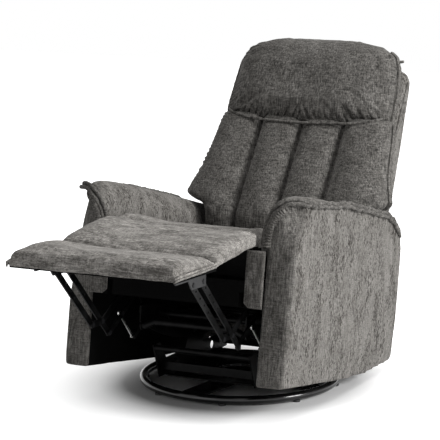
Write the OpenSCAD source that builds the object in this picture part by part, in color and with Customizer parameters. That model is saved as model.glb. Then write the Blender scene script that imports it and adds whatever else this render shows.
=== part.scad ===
// Swivel and rocking recliner on a ring base, with its back reclined, its footrest out and the whole
// body rocked back on the base. The origin is where the swivel axis meets the floor, Z is up, and the
// sitter faces minus Y. The body is drawn level and then rocked as one piece about its pivot pins.

/* [Base] */
// Radius of the ring, to the middle of its tube
ring_r = 290; // [260:1:330]
// Radius of the ring's tube
ring_tube_r = 12.5; // [10:0.5:16]
// Height of the glides under the ring
glide_h = 4; // [2:0.5:8]
// Radius of a glide
glide_r = 11; // [8:0.5:12]
// Number of glides
glide_count = 8; // [4:1:12]
// Width of the two flat bars that cross the ring
base_bar_w = 75; // [50:1:90]
// How far the ring is turned from straight ahead, in degrees
base_turn = -7; // [-45:1:45]
// Radius of the hub plate
hub_r = 100; // [92:1:120]
// Radius of the ball circle in the swivel bearing
ball_circle_r = 80; // [70:1:84]
// Radius of a bearing ball
ball_r = 4; // [3:0.25:5]
// Number of bearing balls
ball_count = 16; // [8:1:24]

/* [Carriage] */
// Half width over the side frames of the turning carriage
carriage_half_w = 158; // [150:1:160]
// Half length of the side frames at their foot
carriage_half_l = 225; // [200:1:240]
// Height of the rocker pivot over the floor
pivot_z = 150; // [140:1:170]
// Radius of the rocker pins
rocker_pin_r = 8; // [6:0.5:10]
// How far the body is rocked back, in degrees
rock = 9; // [0:0.5:9]
// Thickness of the steel plates and links
steel_t = 4; // [3:0.25:4]
// Number of curls in each rocker spring
spring_curls = 7; // [5:1:9]

/* [Footrest linkage] */
// Inner face of the mechanism's side plates, from the middle
plate_x = 196; // [190:1:197]
// Width of the links
link_w = 21; // [16:1:22]
// Radius of the rivets that the links turn on
rivet_r = 4; // [3:0.25:5]
// Half width of the footrest board
board_half_w = 250; // [235:1:252]
// Length of the footrest board, front to back
board_l = 237; // [200:1:245]
// Thickness of the footrest board
board_t = 16; // [12:1:18]
// Height of the footrest pad over its board
footrest_pad_h = 52; // [35:1:60]

/* [Body] */
// Inner face of the arm boxes, from the middle
arm_in_x = 268; // [268:1:275]
// Outer face of the arm boxes, from the middle
arm_out_x = 352; // [345:1:365]
// Front of the arm boxes at the floor end
arm_front_y = -447; // [-460:1:-440]
// Height of the arm tops over the floor, body level
arm_top_z = 562; // [550:1:580]
// Height of the arm bottoms over the floor, body level
arm_bottom_z = 45; // [40:1:60]
// Half width of the seat cushion at the front
seat_half_w = 247; // [230:1:248]
// Height of the seat cushion's crown over the floor, body level
seat_top_z = 484; // [470:1:500]
// Underside of the wooden seat rails over the floor, body level
rail_bottom_z = 262; // [255:1:275]

/* [Back] */
// Half width of the outer back shell
shell_half_w = 270; // [255:1:275]
// Half width of the back cushion at its wings
wing_half_w = 325; // [310:1:330]
// Half width of the headrest
headrest_half_w = 280; // [265:1:285]
// Height of the headrest's top over the floor, body level
head_top_z = 1066; // [1040:1:1080]
// Depth of the sewn channels in the back cushion, as a share of its thickness
channel_share = 0.8; // [0.1:0.05:0.9]

/* [Hidden] */

$fn = 48;
// Overrun of cutting shapes
over = 1;
// Radial clearance of a pin in a bore that turns on it
pin_clear = 0.05;
// Clearance between soft pieces and what carries them
soft_clear = 0.4;
// Extra radius of the two holes where the linkage is left open
open_clear = 1.4;
// Gap between neighbouring links on a rivet
link_gap = 1;
// Width of a link between its eyes, as a share of their diameter
waist_share = 0.93;
// Thickness and radius of a rivet's head
head_t = 1.5;
head_r = 7;

// Base heights; a glide's saddle is straight, so it clears the ring's bend by glide_fit
glide_fit = 0.25;
ring_z = glide_h + ring_tube_r;
base_bar_t = 5;
hub_z = ring_z + base_bar_t / 2;
hub_top = hub_z + steel_t;
race_t = 7;
race_gap = 6;
race_half_w = 10;
race_top = hub_top + race_t;
ball_z = race_top + race_gap / 2;
upper_race_z = race_top + race_gap;
swivel_plate_z = upper_race_z + race_t;
carriage_z = swivel_plate_z + steel_t;
hub_bolt_r = 5;
hub_bolt_circle_r = 40;

// Carriage: cross rails, bumper bars and bolts
rail_inset = 20;
rail_y = carriage_half_l - rail_inset;
cross_rail_z = 66;
cross_rail_h = 24;
cross_rail_w = 30;
bumper_y = 250;
bumper_z = 141;
bumper_r = 9;
foot_w = 22;
leg_lean = 38;
leg_w = 44;
waist_z = 96;
pivot_boss = 26;
bolt_r = 4;
bolt_head_r = 7;
bolt_head_t = 4;
bolt_y = 160;
frame_in_x = carriage_half_w - steel_t;
plate_half_w = carriage_half_w + steel_t;
plate_inset = 33;
plate_half_l = carriage_half_l - plate_inset;

// Rocker plates: their lower edge is an arc, and they hang from the two cross tubes
rocker_gap = 10;
rocker_x = carriage_half_w + rocker_gap;
rocker_r = 900;
rocker_low_z = 120;
rocker_high_z = 236;
rocker_front_y = -326;
rocker_rear_y = 190;
arch_y = -309;
arch_z = 184;
arch_drop = 14;
arch_bend_x = 128;
tube_r = 10;
rear_tube_y = 150;
rear_tube_z = 205;
spacer_y = -262;
spacer_z = 214;

// Rocker springs: upright coils behind the pivot, from the rear cross rail's flange to a plate ear
spring_r = 13;
spring_wire_r = 2;
spring_y = 178;
spring_inset = 26;
spring_x = carriage_half_w - spring_inset;
spring_low_z = cross_rail_z + steel_t;
spring_rings = 8;
spring_sides = 6;

// Link planes, from the side plate outwards
plane_0 = plate_x + steel_t;
plane_1 = plane_0 + link_gap;
plane_2 = plane_1 + steel_t + link_gap;
plane_3 = plane_2 + steel_t + link_gap;
plane_end = plane_3 + steel_t + link_gap;

// Pivots of the linkage as [y, z], body level: two on the side plate, the three joints of the links
// with each other, two on the footrest bracket, and the drive rod's upper end on the front link
front_pivot = [-284, 272];
rear_pivot = [-331, 302];
low_joint = [-444, 151];
cross_joint = [-492, 186];
elbow_joint = [-547, 178];
bracket_rear = [-708, 343];
bracket_front = [-766, 334];
slim_gap = 4;
slim_w = link_w - slim_gap;
drive_share = 0.57;
drive_offset = [86, -69];
drive_joint = front_pivot + (low_joint - front_pivot) * drive_share;
shaft_axis = front_pivot + drive_offset;
crank_joint = drive_joint + drive_offset;
drive_shaft_r = 9;
drive_stub_r = 6;
rod_r = 3.5;
light_hole_r = 3.5;
light_holes = 4;
light_pitch = 34;

// Side plate and seat rails
rail_gap = 2;
rail_in_x = plane_end + rail_gap;
rail_top_z = 336;
flange_w = 40;
plate_front_y = -354;
plate_rear_y = 262;
plate_nose_z = 284;
plate_low_z = 180;
nose_shares = [0.1, 0.8];
rail_front_y = -451;
front_rail_t = 21;
notch_h = 42;
rear_rail_y = 290;
rear_rail_t = 20;
rear_rail_low_z = 200;
apron_low_z = 96;
apron_t = 8;
strip_t = 5;
strip_top_z = 424;
strip_slope = 14;
webbing_w = 52;
webbing_t = 3;
webbing_pitch = 112;
webbing_count = 5;

// Footrest, drawn flat from its board's rear lower edge and then tilted
board_rear_y = bracket_rear[0];
board_rear_z = 374;
board_tilt = 7;
bracket_front_share = 0.71;
bracket_lip_h = 18;
bracket_deep_h = 44;
bracket_tail = 9;
flange_in_w = 26;
flange_t = 3;
pad_over = 14;
pad_side_over = 7;

// Arms
arm_rear_y = 366;
arm_rear_bottom_z = 82;
arm_rear_top_z = 478;
arm_side_r = 20;
arm_pad_low_z = 486;
arm_pad_rear_low_z = 428;
arm_pad_in_x = 250;
arm_pad_over = 5;
arm_crown = 14;

// Seat cushion and bridge pad
seat_bottom_z = rail_top_z + steel_t + webbing_t + soft_clear;
seat_rear_y = 158;
seat_front_y = -447;
seat_rear_half_w = 232;
bridge_root_z = 430;
bridge_pad_h = 54;
bridge_front_gap = 6;

// Back, drawn reclined
back_hinge = [225, 440];
hinge_pin_r = 6;
hinge_boss_r = 16;
bracket_x = 242;
ear_x = bracket_x - steel_t - link_gap;
upright_inset = 48;
upright_x = shell_half_w - upright_inset;
upright_r = 11;
cross_tube_r = 8.5;
upright_low = [296, 478];
upright_high = [486, 905];
shell_t = 14;
shell_low_half_w = 240;
shell_step_z = 552;

function mix(a, b, t) = a * (1 - t) + b * t;
function rot2(p, a) = [p[0] * cos(a) - p[1] * sin(a), p[0] * sin(a) + p[1] * cos(a)];

// Turns a level body point pair into place: everything on the rocking body goes through here
module rocked() {
    translate([0, 0, pivot_z]) rotate([-rock, 0, 0]) translate([0, 0, -pivot_z]) children();
}

// A flat outline in [y, z], from x0 towards plus X
module side_cut(x0, t) {
    translate([x0, 0, 0]) rotate([90, 0, 90]) linear_extrude(t) children();
}

// The same piece on the sitter's left or mirrored to the right
module on_side(s) {
    if (s > 0) children();
    else mirror([1, 0, 0]) children();
}

module both_sides() {
    children();
    mirror([1, 0, 0]) children();
}

module rod_x(p, r, x0, x1) {
    translate([x0, p[0], p[1]]) rotate([0, 90, 0]) cylinder(h = x1 - x0, r = r);
}

// A rivet along X with a head at each end
module rivet(p, x0, x1, r = rivet_r) {
    rod_x(p, r, x0, x1);
    rod_x(p, head_r, x0 - head_t, x0);
    rod_x(p, head_r, x1, x1 + head_t);
}

// A link outline through its pivots, a little narrower between its round eyes
module link_outline(points, w) {
    for (i = [0:len(points) - 2]) {
        d = points[i + 1] - points[i];
        translate(points[i]) rotate(atan2(d[1], d[0])) translate([0, -w * waist_share / 2])
            square([norm(d), w * waist_share]);
    }
    for (p = points) translate(p) circle(w / 2);
}

module hole(p, r) {
    translate(p) circle(r);
}

// A row of small holes from p towards q
module light_row(p, q, first) {
    u = (q - p) / norm(q - p);
    for (i = [0:light_holes - 1]) translate(p + u * (first + i * light_pitch)) circle(light_hole_r);
}

// A closed skin over rings of equal length, with flat ends laid as ladders
module loft(rings) {
    n = len(rings);
    m = len(rings[0]);
    pts = [for (r = rings) for (p = r) p];
    walls = [for (i = [0:n - 2]) for (j = [0:m - 1]) let(a = i * m + j, b = i * m + (j + 1) % m)
        each [[a, b, b + m], [a, b + m, a + m]]];
    h = floor(m / 2);
    steps = [for (j = [0:h - 2]) each [[j, j + 1, m - 2 - j], [j, m - 2 - j, m - 1 - j]]];
    caps = m % 2 == 0 ? steps : concat(steps, [[h - 1, h, h + 1]]);
    start = [for (f = caps) [f[2], f[1], f[0]]];
    end = [for (f = caps) f + [1, 1, 1] * (n - 1) * m];
    polyhedron(pts, concat(walls, start, end), convexity = 6);
}

// How full a pad is at a share u of its half width, from its thin edge to 1 in the middle
function fullness(u, edge, power) = edge + (1 - edge) * pow(1 - pow(abs(u), power), 1 / 2);

// A fullness with sewn channels: n of them across the width, each drawn in by a share at its seams
function channelled(u, n, depth) =
    let(c = (u + 1) * n / 2, f = 2 * (c - floor(min(c, n - 0.001))) - 1)
    1 - depth * (1 - sqrt(max(0, 1 - f * f)));

// A pad between an outer and an inner line of [y, z] points, each with its own half width. Its side
// seams lie at seam_share of the way from the outer line to the inner one.
module pad(outer, inner, half_ws, us, full_out, full_in, seam_share = 0.5) {
    n = len(outer);
    seam = [for (j = [0:n - 1]) mix(outer[j], inner[j], seam_share)];
    rings = [for (i = [0:len(us) - 1]) concat(
        [for (j = [0:n - 1]) let(p = mix(seam[j], outer[j], full_out[i]))
            [half_ws[j] * us[i], p[0], p[1]]],
        [for (j = [n - 1:-1:0]) let(p = mix(seam[j], inner[j], full_in[i]))
            [half_ws[j] * us[i], p[0], p[1]]])];
    loft(rings);
}

// Where the side seams of the back cushion and the headrest lie through their thickness
back_seam_share = 0.65;

// Stations across a pad, closer together at its edges
cushion_us = [-1, -0.985, -0.94, -0.86, -0.7, -0.45, -0.2, 0, 0.2, 0.45, 0.7, 0.86, 0.94, 0.985, 1];
cushion_full = [for (u = cushion_us) fullness(u, 0.3, 6)];
cushion_in = [for (u = cushion_us) fullness(u, 0.3, 10)];
channel_count = 4;
channel_us = [for (i = [0:32]) -1 + i / 16];
channel_full = [for (u = channel_us)
    channelled(u, channel_count, channel_share) * fullness(u, 0.25, 8)];
channel_in = [for (u = channel_us) fullness(u, 0.3, 24)];

module base_ring() color("#151515")
    translate([0, 0, ring_z]) rotate_extrude() translate([ring_r, 0]) circle(ring_tube_r);

module base_cross_bars() color("#151515") rotate([0, 0, base_turn]) difference() {
    for (a = [0, 90]) rotate([0, 0, a])
        translate([-ring_r, -base_bar_w / 2, hub_z - base_bar_t]) cube([2 * ring_r, base_bar_w, base_bar_t]);
    translate([0, 0, ring_z]) rotate_extrude() translate([ring_r, 0]) circle(ring_tube_r);
    translate([0, 0, hub_z - base_bar_t - over])
        difference() {
            cylinder(h = base_bar_t + 2 * over, r = ring_r + ring_tube_r);
            cylinder(h = base_bar_t + 2 * over, r = ring_r);
        }
    for (a = [0:90:270]) rotate([0, 0, a]) translate([hub_bolt_circle_r, 0, hub_z - base_bar_t - over])
        cylinder(h = base_bar_t + 2 * over, r = hub_bolt_r);
}

module ball_groove() {
    translate([0, 0, ball_z]) rotate_extrude() translate([ball_circle_r, 0]) circle(ball_r + pin_clear);
}

module base_hub() color("#1b1b1b") difference() {
    union() {
        translate([0, 0, hub_z]) cylinder(h = steel_t, r = hub_r);
        translate([0, 0, hub_z]) cylinder(h = steel_t + race_t, r = ball_circle_r + race_half_w);
    }
    ball_groove();
    translate([0, 0, hub_top]) cylinder(h = race_t + over, r = ball_circle_r - race_half_w);
    rotate([0, 0, base_turn]) for (a = [0:90:270]) rotate([0, 0, a])
        translate([hub_bolt_circle_r, 0, hub_z - over]) cylinder(h = steel_t + 2 * over, r = hub_bolt_r);
}

module floor_glides() color("#0f0f0f")
    for (i = [0:glide_count - 1]) rotate([0, 0, base_turn + (i + 0.5) * 360 / glide_count])
        translate([ring_r, 0, 0]) difference() {
            cylinder(h = glide_h + ring_tube_r / 4, r = glide_r);
            translate([0, 2 * glide_r, ring_z]) rotate([90, 0, 0])
                cylinder(h = 4 * glide_r, r = ring_tube_r + glide_fit);
        }

module bearing_balls() color("silver") {
    for (i = [0:ball_count - 1]) rotate([0, 0, i * 360 / ball_count])
        translate([ball_circle_r, 0, ball_z]) sphere(ball_r, $fn = 24);
}

module turning_race() color("#1b1b1b") difference() {
    translate([0, 0, upper_race_z]) cylinder(h = race_t, r = ball_circle_r + race_half_w);
    ball_groove();
    translate([0, 0, upper_race_z - over]) cylinder(h = race_t + 2 * over, r = ball_circle_r - race_half_w);
}

// Places of the carriage bolts, through the side frames' feet and the swivel plate
function bolt_places() = [for (x = [-1, 1]) for (y = [-1, 0, 1])
    [x * (frame_in_x - foot_w / 2), y * bolt_y]];

module swivel_plate() color("#161616") difference() {
    translate([0, 0, swivel_plate_z]) linear_extrude(steel_t) difference() {
        square([2 * plate_half_w, 2 * plate_half_l], center = true);
        for (x = [-1, 1]) for (y = [-1, 1]) translate([x * plate_half_w, y * plate_half_l])
            rotate(45) square(foot_w, center = true);
        circle(ball_circle_r - race_half_w);
        for (y = [-1, 1]) translate([0, y * (plate_half_l + ball_circle_r) / 2]) {
            square([2 * ball_circle_r, foot_w], center = true);
            for (x = [-1, 1]) translate([x * ball_circle_r, 0]) circle(foot_w / 2);
        }
        for (p = bolt_places()) translate(p) circle(bolt_r + pin_clear);
    }
}

// Side frame outline: foot, two leaning legs that carry the bumper bars, and the pivot post
function frame_points() = let(l = carriage_half_l, top = bumper_z + bumper_r)
    [[-l, carriage_z], [-l - leg_lean, top], [-l - leg_lean + leg_w, top], [-l + leg_w, waist_z],
    [-2.4 * pivot_boss, waist_z], [-pivot_boss, pivot_z], [pivot_boss, pivot_z],
    [2.4 * pivot_boss, waist_z], [l - leg_w, waist_z], [l + leg_lean - leg_w, top],
    [l + leg_lean, top], [l, carriage_z]];

module side_frame() color("#171717") {
    difference() {
        union() {
            side_cut(frame_in_x, steel_t) {
                polygon(frame_points());
                translate([0, pivot_z]) circle(pivot_boss);
            }
            translate([frame_in_x - foot_w, -plate_half_l + foot_w, carriage_z])
                cube([foot_w, 2 * (plate_half_l - foot_w), steel_t]);
        }
        rod_x([0, pivot_z], rocker_pin_r, frame_in_x - over, carriage_half_w + over);
        for (s = [-1, 1]) rod_x([s * carriage_half_l * 0.55, (waist_z + carriage_z) / 2],
            pivot_boss / 2, frame_in_x - over, carriage_half_w + over);
        for (p = bolt_places()) translate([p[0], p[1], carriage_z - over])
            cylinder(h = steel_t + 2 * over, r = bolt_r + pin_clear);
    }
}

// An angle-iron rail between the side frames, face towards minus Y
module cross_rail() color("#1a1a1a") {
    translate([-frame_in_x, -rail_y, cross_rail_z]) cube([2 * frame_in_x, steel_t, cross_rail_h]);
    translate([-frame_in_x, -rail_y, cross_rail_z]) cube([2 * frame_in_x, cross_rail_w, steel_t]);
}

module bumper_bars() color("#1c1c1c") {
    for (s = [-1, 1]) rod_x([s * bumper_y, bumper_z], bumper_r, -frame_in_x, frame_in_x);
}

module rocker_pins() color("#2a2a2a") both_sides() {
    rod_x([0, pivot_z], rocker_pin_r, frame_in_x, rocker_x + steel_t + link_gap);
    rod_x([0, pivot_z], rocker_pin_r + bolt_head_t, frame_in_x - bolt_head_t, frame_in_x);
    rod_x([0, pivot_z], rocker_pin_r + bolt_head_t, rocker_x + steel_t + link_gap,
        rocker_x + steel_t + link_gap + bolt_head_t);
}

module carriage_bolts() color("#303030") for (p = bolt_places()) translate([p[0], p[1], 0]) {
    translate([0, 0, swivel_plate_z - bolt_head_t])
        cylinder(h = bolt_head_t + 2 * steel_t + bolt_head_t, r = bolt_r);
    translate([0, 0, swivel_plate_z - bolt_head_t]) cylinder(h = bolt_head_t, r = bolt_head_r);
    translate([0, 0, carriage_z + steel_t]) cylinder(h = bolt_head_t, r = bolt_head_r, $fn = 6);
}

// Height of the body's spring ear over the rear rail, at the stored rock
spring_ear = rot2([spring_y, rear_tube_z - tube_r - steel_t - pivot_z], -rock);
spring_top_z = pivot_z + spring_ear[1] - spring_wire_r - soft_clear;
spring_h = spring_top_z - spring_low_z - 2 * spring_wire_r;
spring_gap = spring_h / spring_curls - 2 * spring_wire_r;
echo("least gap between spring curls, in mm", spring_gap);

// One unbroken tube wound spring_curls times
module coil_spring() {
    steps = spring_curls * spring_rings;
    rings = [for (i = [0:steps]) let(a = i * 360 / spring_rings,
        c = [spring_r * cos(a), spring_r * sin(a), spring_wire_r + spring_h * i / steps])
        [for (j = [0:spring_sides - 1]) let(b = -j * 360 / spring_sides)
            c + [spring_wire_r * cos(b) * cos(a), spring_wire_r * cos(b) * sin(a), spring_wire_r * sin(b)]]];
    loft(rings);
}

module rocker_spring(s) color("#8d8d8d")
    translate([s * spring_x, spring_ear[0], spring_low_z]) coil_spring();

// Rocker plate with its curved lower edge, an ear for the arched tube and a hole for the drive shaft
module rocker_plate() color("#181818") {
    difference() {
        side_cut(rocker_x, steel_t) difference() {
            union() {
                hole([arch_y, arch_z - arch_drop], tube_r + steel_t);
                translate([arch_y - tube_r, arch_z - arch_drop])
                    square([2 * tube_r, rocker_high_z - tube_r - arch_z + arch_drop]);
                intersection() {
                    translate([0, rocker_low_z + rocker_r]) circle(rocker_r, $fn = 240);
                    polygon([[rocker_front_y, rocker_low_z - over], [rocker_rear_y, rocker_low_z - over],
                        [rocker_rear_y, rocker_high_z - tube_r], [rear_tube_y - tube_r, rocker_high_z],
                        [rear_tube_y / 2, rear_tube_z], [-rear_tube_y / 2, rear_tube_z],
                        [spacer_y + tube_r, rocker_high_z], [rocker_front_y, rocker_high_z - tube_r]]);
                }
            }
            for (y = [-rear_tube_y, rear_tube_y / 2]) hole([y, (rear_tube_z + pivot_z) / 2], tube_r);
            hole(shaft_axis, drive_shaft_r + open_clear);
        }
        rod_x([0, pivot_z], rocker_pin_r + pin_clear, rocker_x - over, rocker_x + steel_t + over);
        rod_x([rear_tube_y, rear_tube_z], tube_r, rocker_x - over, rocker_x + steel_t + over);
    }
}

module arched_cross_tube() color("#242424") {
    rod_x([arch_y, arch_z], tube_r, -arch_bend_x, arch_bend_x);
    both_sides() {
        translate([arch_bend_x, arch_y, arch_z]) sphere(tube_r);
        translate([arch_bend_x, arch_y, arch_z])
            rotate([0, 90 + atan2(arch_drop, rocker_x - tube_r - arch_bend_x), 0])
            cylinder(h = norm([arch_drop, rocker_x - tube_r - arch_bend_x]), r = tube_r);
        translate([rocker_x - tube_r, arch_y, arch_z - arch_drop]) sphere(tube_r);
        rod_x([arch_y, arch_z - arch_drop], tube_r, rocker_x - tube_r, rocker_x);
    }
}

module rear_cross_tube() color("#1e1e1e") {
    rod_x([rear_tube_y, rear_tube_z], tube_r, -plate_x, plate_x);
    both_sides() translate([spring_x - spring_r, spring_y - spring_r, rear_tube_z - tube_r - steel_t])
        cube([2 * spring_r, 2 * spring_r, steel_t]);
    both_sides() translate([spring_x - spring_r, rear_tube_y, rear_tube_z - tube_r - steel_t])
        cube([2 * spring_r, spring_y - rear_tube_y, steel_t + tube_r / 2]);
}

module plate_spacers() color("#222222") both_sides()
    rod_x([spacer_y, spacer_z], tube_r, rocker_x + steel_t, plate_x);

// Mechanism side plate: a shaped web with a flange that lies on the seat rail
module side_plate() color("#141414") {
    difference() {
        side_cut(plate_x, steel_t) difference() {
            union() {
                polygon([[plate_front_y, rail_top_z], [plate_front_y, plate_nose_z],
                    front_pivot - [2 * head_r, 2 * head_r], shaft_axis - [2 * link_w, 0],
                    shaft_axis - [link_w, link_w * nose_shares[0]],
                    shaft_axis - [0, link_w * nose_shares[1]], shaft_axis + [link_w, -link_w],
                    [0, rear_tube_z + tube_r], [rear_tube_y - 2 * tube_r, plate_low_z],
                    [rear_tube_y + 2 * tube_r, plate_low_z], [plate_rear_y, plate_nose_z],
                    [plate_rear_y, rail_top_z]]);
                translate([spacer_y, spacer_z]) circle(1.8 * tube_r);
            }
            for (y = [-rear_tube_y / 2, rear_tube_y / 3]) bar_cut([y, plate_nose_z], 4 * tube_r, tube_r);
        }
        for (p = [front_pivot, rear_pivot]) rod_x(p, rivet_r, plate_x - over, plane_0 + over);
        rod_x(shaft_axis, drive_stub_r + pin_clear, plate_x - over, plane_0 + over);
    }
    translate([plate_x, plate_front_y, rail_top_z]) cube([flange_w, plate_rear_y - plate_front_y, steel_t]);
}

// A slot outline with round ends, along y
module bar_cut(p, l, r) {
    translate(p - [l / 2, r * waist_share]) square([l, 2 * r * waist_share]);
    for (s = [-1, 1]) translate(p + [s * l / 2, 0]) circle(r);
}

module side_plate_rivets() color("#4a4a4a") both_sides() for (p = [front_pivot, rear_pivot])
    rivet(p, plate_x - head_t, plane_1 + steel_t + link_gap / 2);

module seat_rail() color("#8a6a48") difference() {
    translate([rail_in_x, rail_front_y + front_rail_t, rail_bottom_z])
        cube([arm_in_x - rail_in_x, rear_rail_y - rail_front_y - front_rail_t, rail_top_z - rail_bottom_z]);
}

module front_seat_rail() color("#141414") difference() {
    translate([-arm_in_x, rail_front_y, rail_bottom_z])
        cube([2 * arm_in_x, front_rail_t, rail_top_z - rail_bottom_z]);
    both_sides() translate([plane_1 - link_gap, rail_front_y - over, rail_bottom_z - over])
        cube([rail_in_x - plane_1 + link_gap, front_rail_t + 2 * over, notch_h + over]);
}

module rear_seat_rail() color("#141414")
    translate([-arm_in_x, rear_rail_y, rear_rail_low_z])
        cube([2 * arm_in_x, rear_rail_t, rail_top_z - rear_rail_low_z]);

// Covered board behind the rear rail, down to near the floor base
module rear_apron() color("#57524d")
    translate([-arm_in_x + soft_clear, rear_rail_y + rear_rail_t, apron_low_z])
        cube([2 * (arm_in_x - soft_clear), apron_t, rail_top_z - apron_low_z]);

module seat_webbing() color("#2a2a2a") for (i = [0:webbing_count - 1])
    translate([-plate_x - flange_w, plate_front_y + webbing_w / 2 + i * webbing_pitch, rail_top_z + steel_t])
        cube([2 * (plate_x + flange_w), webbing_w, webbing_t]);

// Fabric ends of the seat box beside the black cloth, with their lower inner corners cut
module front_strips() color("#55504b") both_sides()
    translate([0, rail_front_y - soft_clear, 0]) rotate([90, 0, 0]) linear_extrude(strip_t)
        polygon([[rail_in_x, rail_bottom_z + strip_slope], [rail_in_x + strip_slope, rail_bottom_z],
            [arm_in_x - soft_clear, rail_bottom_z], [arm_in_x - soft_clear, strip_top_z],
            [rail_in_x, strip_top_z]]);

// Arm box outline: a bottom that lifts at the rear for rocking, and a front that leans back
function arm_points() = [[arm_front_y, arm_bottom_z], [0, arm_bottom_z],
    [arm_rear_y / 2, arm_bottom_z + arm_side_r / 2], [arm_rear_y - arm_side_r, arm_rear_bottom_z],
    [arm_rear_y, (arm_rear_bottom_z + arm_rear_top_z) / 2], [arm_rear_y, arm_pad_rear_low_z],
    [arm_front_y + arm_side_r, arm_pad_low_z], [arm_front_y + arm_side_r / 2, arm_pad_low_z - arm_side_r]];

module arm_box() color("#5b5651") intersection() {
    side_cut(arm_in_x, arm_out_x - arm_in_x) polygon(arm_points());
    linear_extrude(arm_top_z) {
        w = arm_out_x - arm_in_x;
        l = arm_rear_y - arm_front_y;
        for (x = [arm_in_x + arm_side_r, arm_out_x - arm_side_r])
            for (y = [arm_front_y + arm_side_r, arm_rear_y - arm_side_r])
                translate([x, y]) circle(arm_side_r);
        translate([arm_in_x + arm_side_r, arm_front_y]) square([w - 2 * arm_side_r, l]);
        translate([arm_in_x, arm_front_y + arm_side_r]) square([w, l - 2 * arm_side_r]);
    }
}

// Arm pad: stations along the arm as [share of its length, height share, inset], front to rear
arm_pad_shares = [[0, 0.35, 0.16], [0.012, 0.62, 0.06], [0.04, 0.86, 0.01], [0.09, 0.98, 0],
    [0.2, 1, 0], [0.45, 0.99, 0], [0.7, 0.96, 0], [0.88, 0.92, 0.01], [0.97, 0.78, 0.05], [1, 0.45, 0.16]];
arm_pad_angles = [0:15:180];

module arm_pad() color("#66615b") {
    front = arm_front_y + arm_side_r - arm_pad_over;
    rear = arm_rear_y + arm_pad_over;
    low_x = arm_pad_in_x;
    high_x = arm_out_x + arm_pad_over;
    loft([for (s = arm_pad_shares) let(y = mix(front, rear, s[0]),
        low = mix(arm_pad_low_z, arm_pad_rear_low_z, (y - front) / (rear - front)) + soft_clear,
        top = s[0] < 0.7 ? arm_top_z + arm_crown
            : mix(arm_top_z + arm_crown, arm_rear_top_z + arm_crown, pow((s[0] - 0.7) / 0.3, 1.4)),
        h = (top - low) * s[1], cx = (low_x + high_x) / 2, hw = (high_x - low_x) * (0.5 - s[2] / 2))
        [for (a = arm_pad_angles) [cx - hw * sign(cos(a)) * pow(abs(cos(a)), 0.5), y,
            low + h * pow(sin(a), 0.6)]]]);
}

// Seat cushion from rear to front, as shares of its length and of its height
seat_top_shares = [[0, 0.66], [0.1, 0.83], [0.26, 0.91], [0.5, 0.96], [0.74, 1], [0.9, 0.99],
    [0.98, 0.96], [1, 0.9]];
function seat_line(shares, low, high) = [for (s = shares)
    [mix(seat_rear_y, seat_front_y, s[0]), mix(low, high, s[1])]];

module seat_cushion() color("#5f5a55") pad(
    seat_line(seat_top_shares, seat_bottom_z, seat_top_z),
    [for (s = seat_top_shares) [mix(seat_rear_y, seat_front_y, s[0]), seat_bottom_z]],
    [for (s = seat_top_shares) mix(seat_rear_half_w, seat_half_w, min(1, 2 * s[0]))],
    cushion_us, cushion_full, [for (u = cushion_us) 1]);

// Bridge pad from the seat's front to the footrest, as shares of its length and fall
bridge_front_y = board_rear_y + bridge_front_gap;
bridge_front_z = board_rear_z + bridge_front_gap / 2;
bridge_shares = [[0, 0, 0.89], [0.2, 0.14, 1], [0.5, 0.5, 1], [0.8, 0.82, 0.89], [0.95, 0.97, 0.74],
    [1, 1, 0.56]];
function bridge_line(up) = [for (s = bridge_shares)
    [mix(seat_front_y - soft_clear, bridge_front_y, s[0]),
    mix(bridge_root_z, bridge_front_z, s[1]) + up * s[2] * bridge_pad_h]];

module bridge_pad() color("#5f5a55") pad(bridge_line(1), bridge_line(0),
    [for (s = bridge_shares) board_half_w], cushion_us, cushion_full, cushion_in);

// The footrest's own frame: y runs back from the board's rear lower edge, z up from its underside
module footrest_place() {
    translate([0, board_rear_y, board_rear_z]) rotate([board_tilt, 0, 0]) children();
}

module footrest_board() color("#7c5f41") footrest_place()
    translate([-board_half_w, -board_l, 0]) cube([2 * board_half_w, board_l, board_t]);

// Footrest pad, from its seam at the bridge pad over its hump and round its front edge
footrest_shares = [[0, 0.5], [0.08, 0.74], [0.25, 0.86], [0.55, 0.92], [0.8, 1], [0.93, 0.95], [1, 0.7]];

module footrest_pad() color("#625d57") footrest_place() {
    w = board_half_w + pad_side_over;
    low = board_t + soft_clear;
    front = -board_l - soft_clear;
    outer = concat([for (s = footrest_shares) [-s[0] * (board_l + pad_over), low + footrest_pad_h * s[1]]],
        [[-board_l - pad_over, low], [-board_l - pad_over * 0.8, 0]]);
    inner = concat([for (s = footrest_shares) [-s[0] * board_l - soft_clear * s[0], low]],
        [[front, board_t / 2], [front, 0]]);
    pad(outer, inner, [for (p = outer) w], cushion_us, cushion_full, [for (u = cushion_us) 1]);
}

// Angle bracket under the board: a drilled ear that deepens at the pivots, and a flange
module footrest_bracket() color("#101010") {
    difference() {
        side_cut(plane_3, steel_t) difference() {
            translate([board_rear_y, board_rear_z]) rotate(board_tilt) polygon([[bracket_tail, 0],
                [-board_l * bracket_front_share, 0], [-board_l * bracket_front_share, -bracket_lip_h],
                [-board_l * bracket_front_share * 0.55, -bracket_lip_h],
                [-board_l * bracket_front_share * 0.42, -bracket_deep_h], [bracket_tail, -bracket_deep_h]]);
            translate([board_rear_y, board_rear_z]) rotate(board_tilt)
                for (i = [0:2]) translate([-board_l * bracket_front_share + head_r + i * 2.4 * head_r,
                    -bracket_lip_h / 2]) circle(light_hole_r);
        }
        rod_x(bracket_rear, rivet_r + pin_clear, plane_3 - over, plane_3 + steel_t + over);
        rod_x(bracket_front, rivet_r + open_clear, plane_3 - over, plane_3 + steel_t + over);
    }
    footrest_place() translate([plane_3, -board_l * bracket_front_share, -flange_t])
        cube([flange_in_w, board_l * bracket_front_share, flange_t]);
}

module footrest_brackets() both_sides() footrest_bracket();

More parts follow.
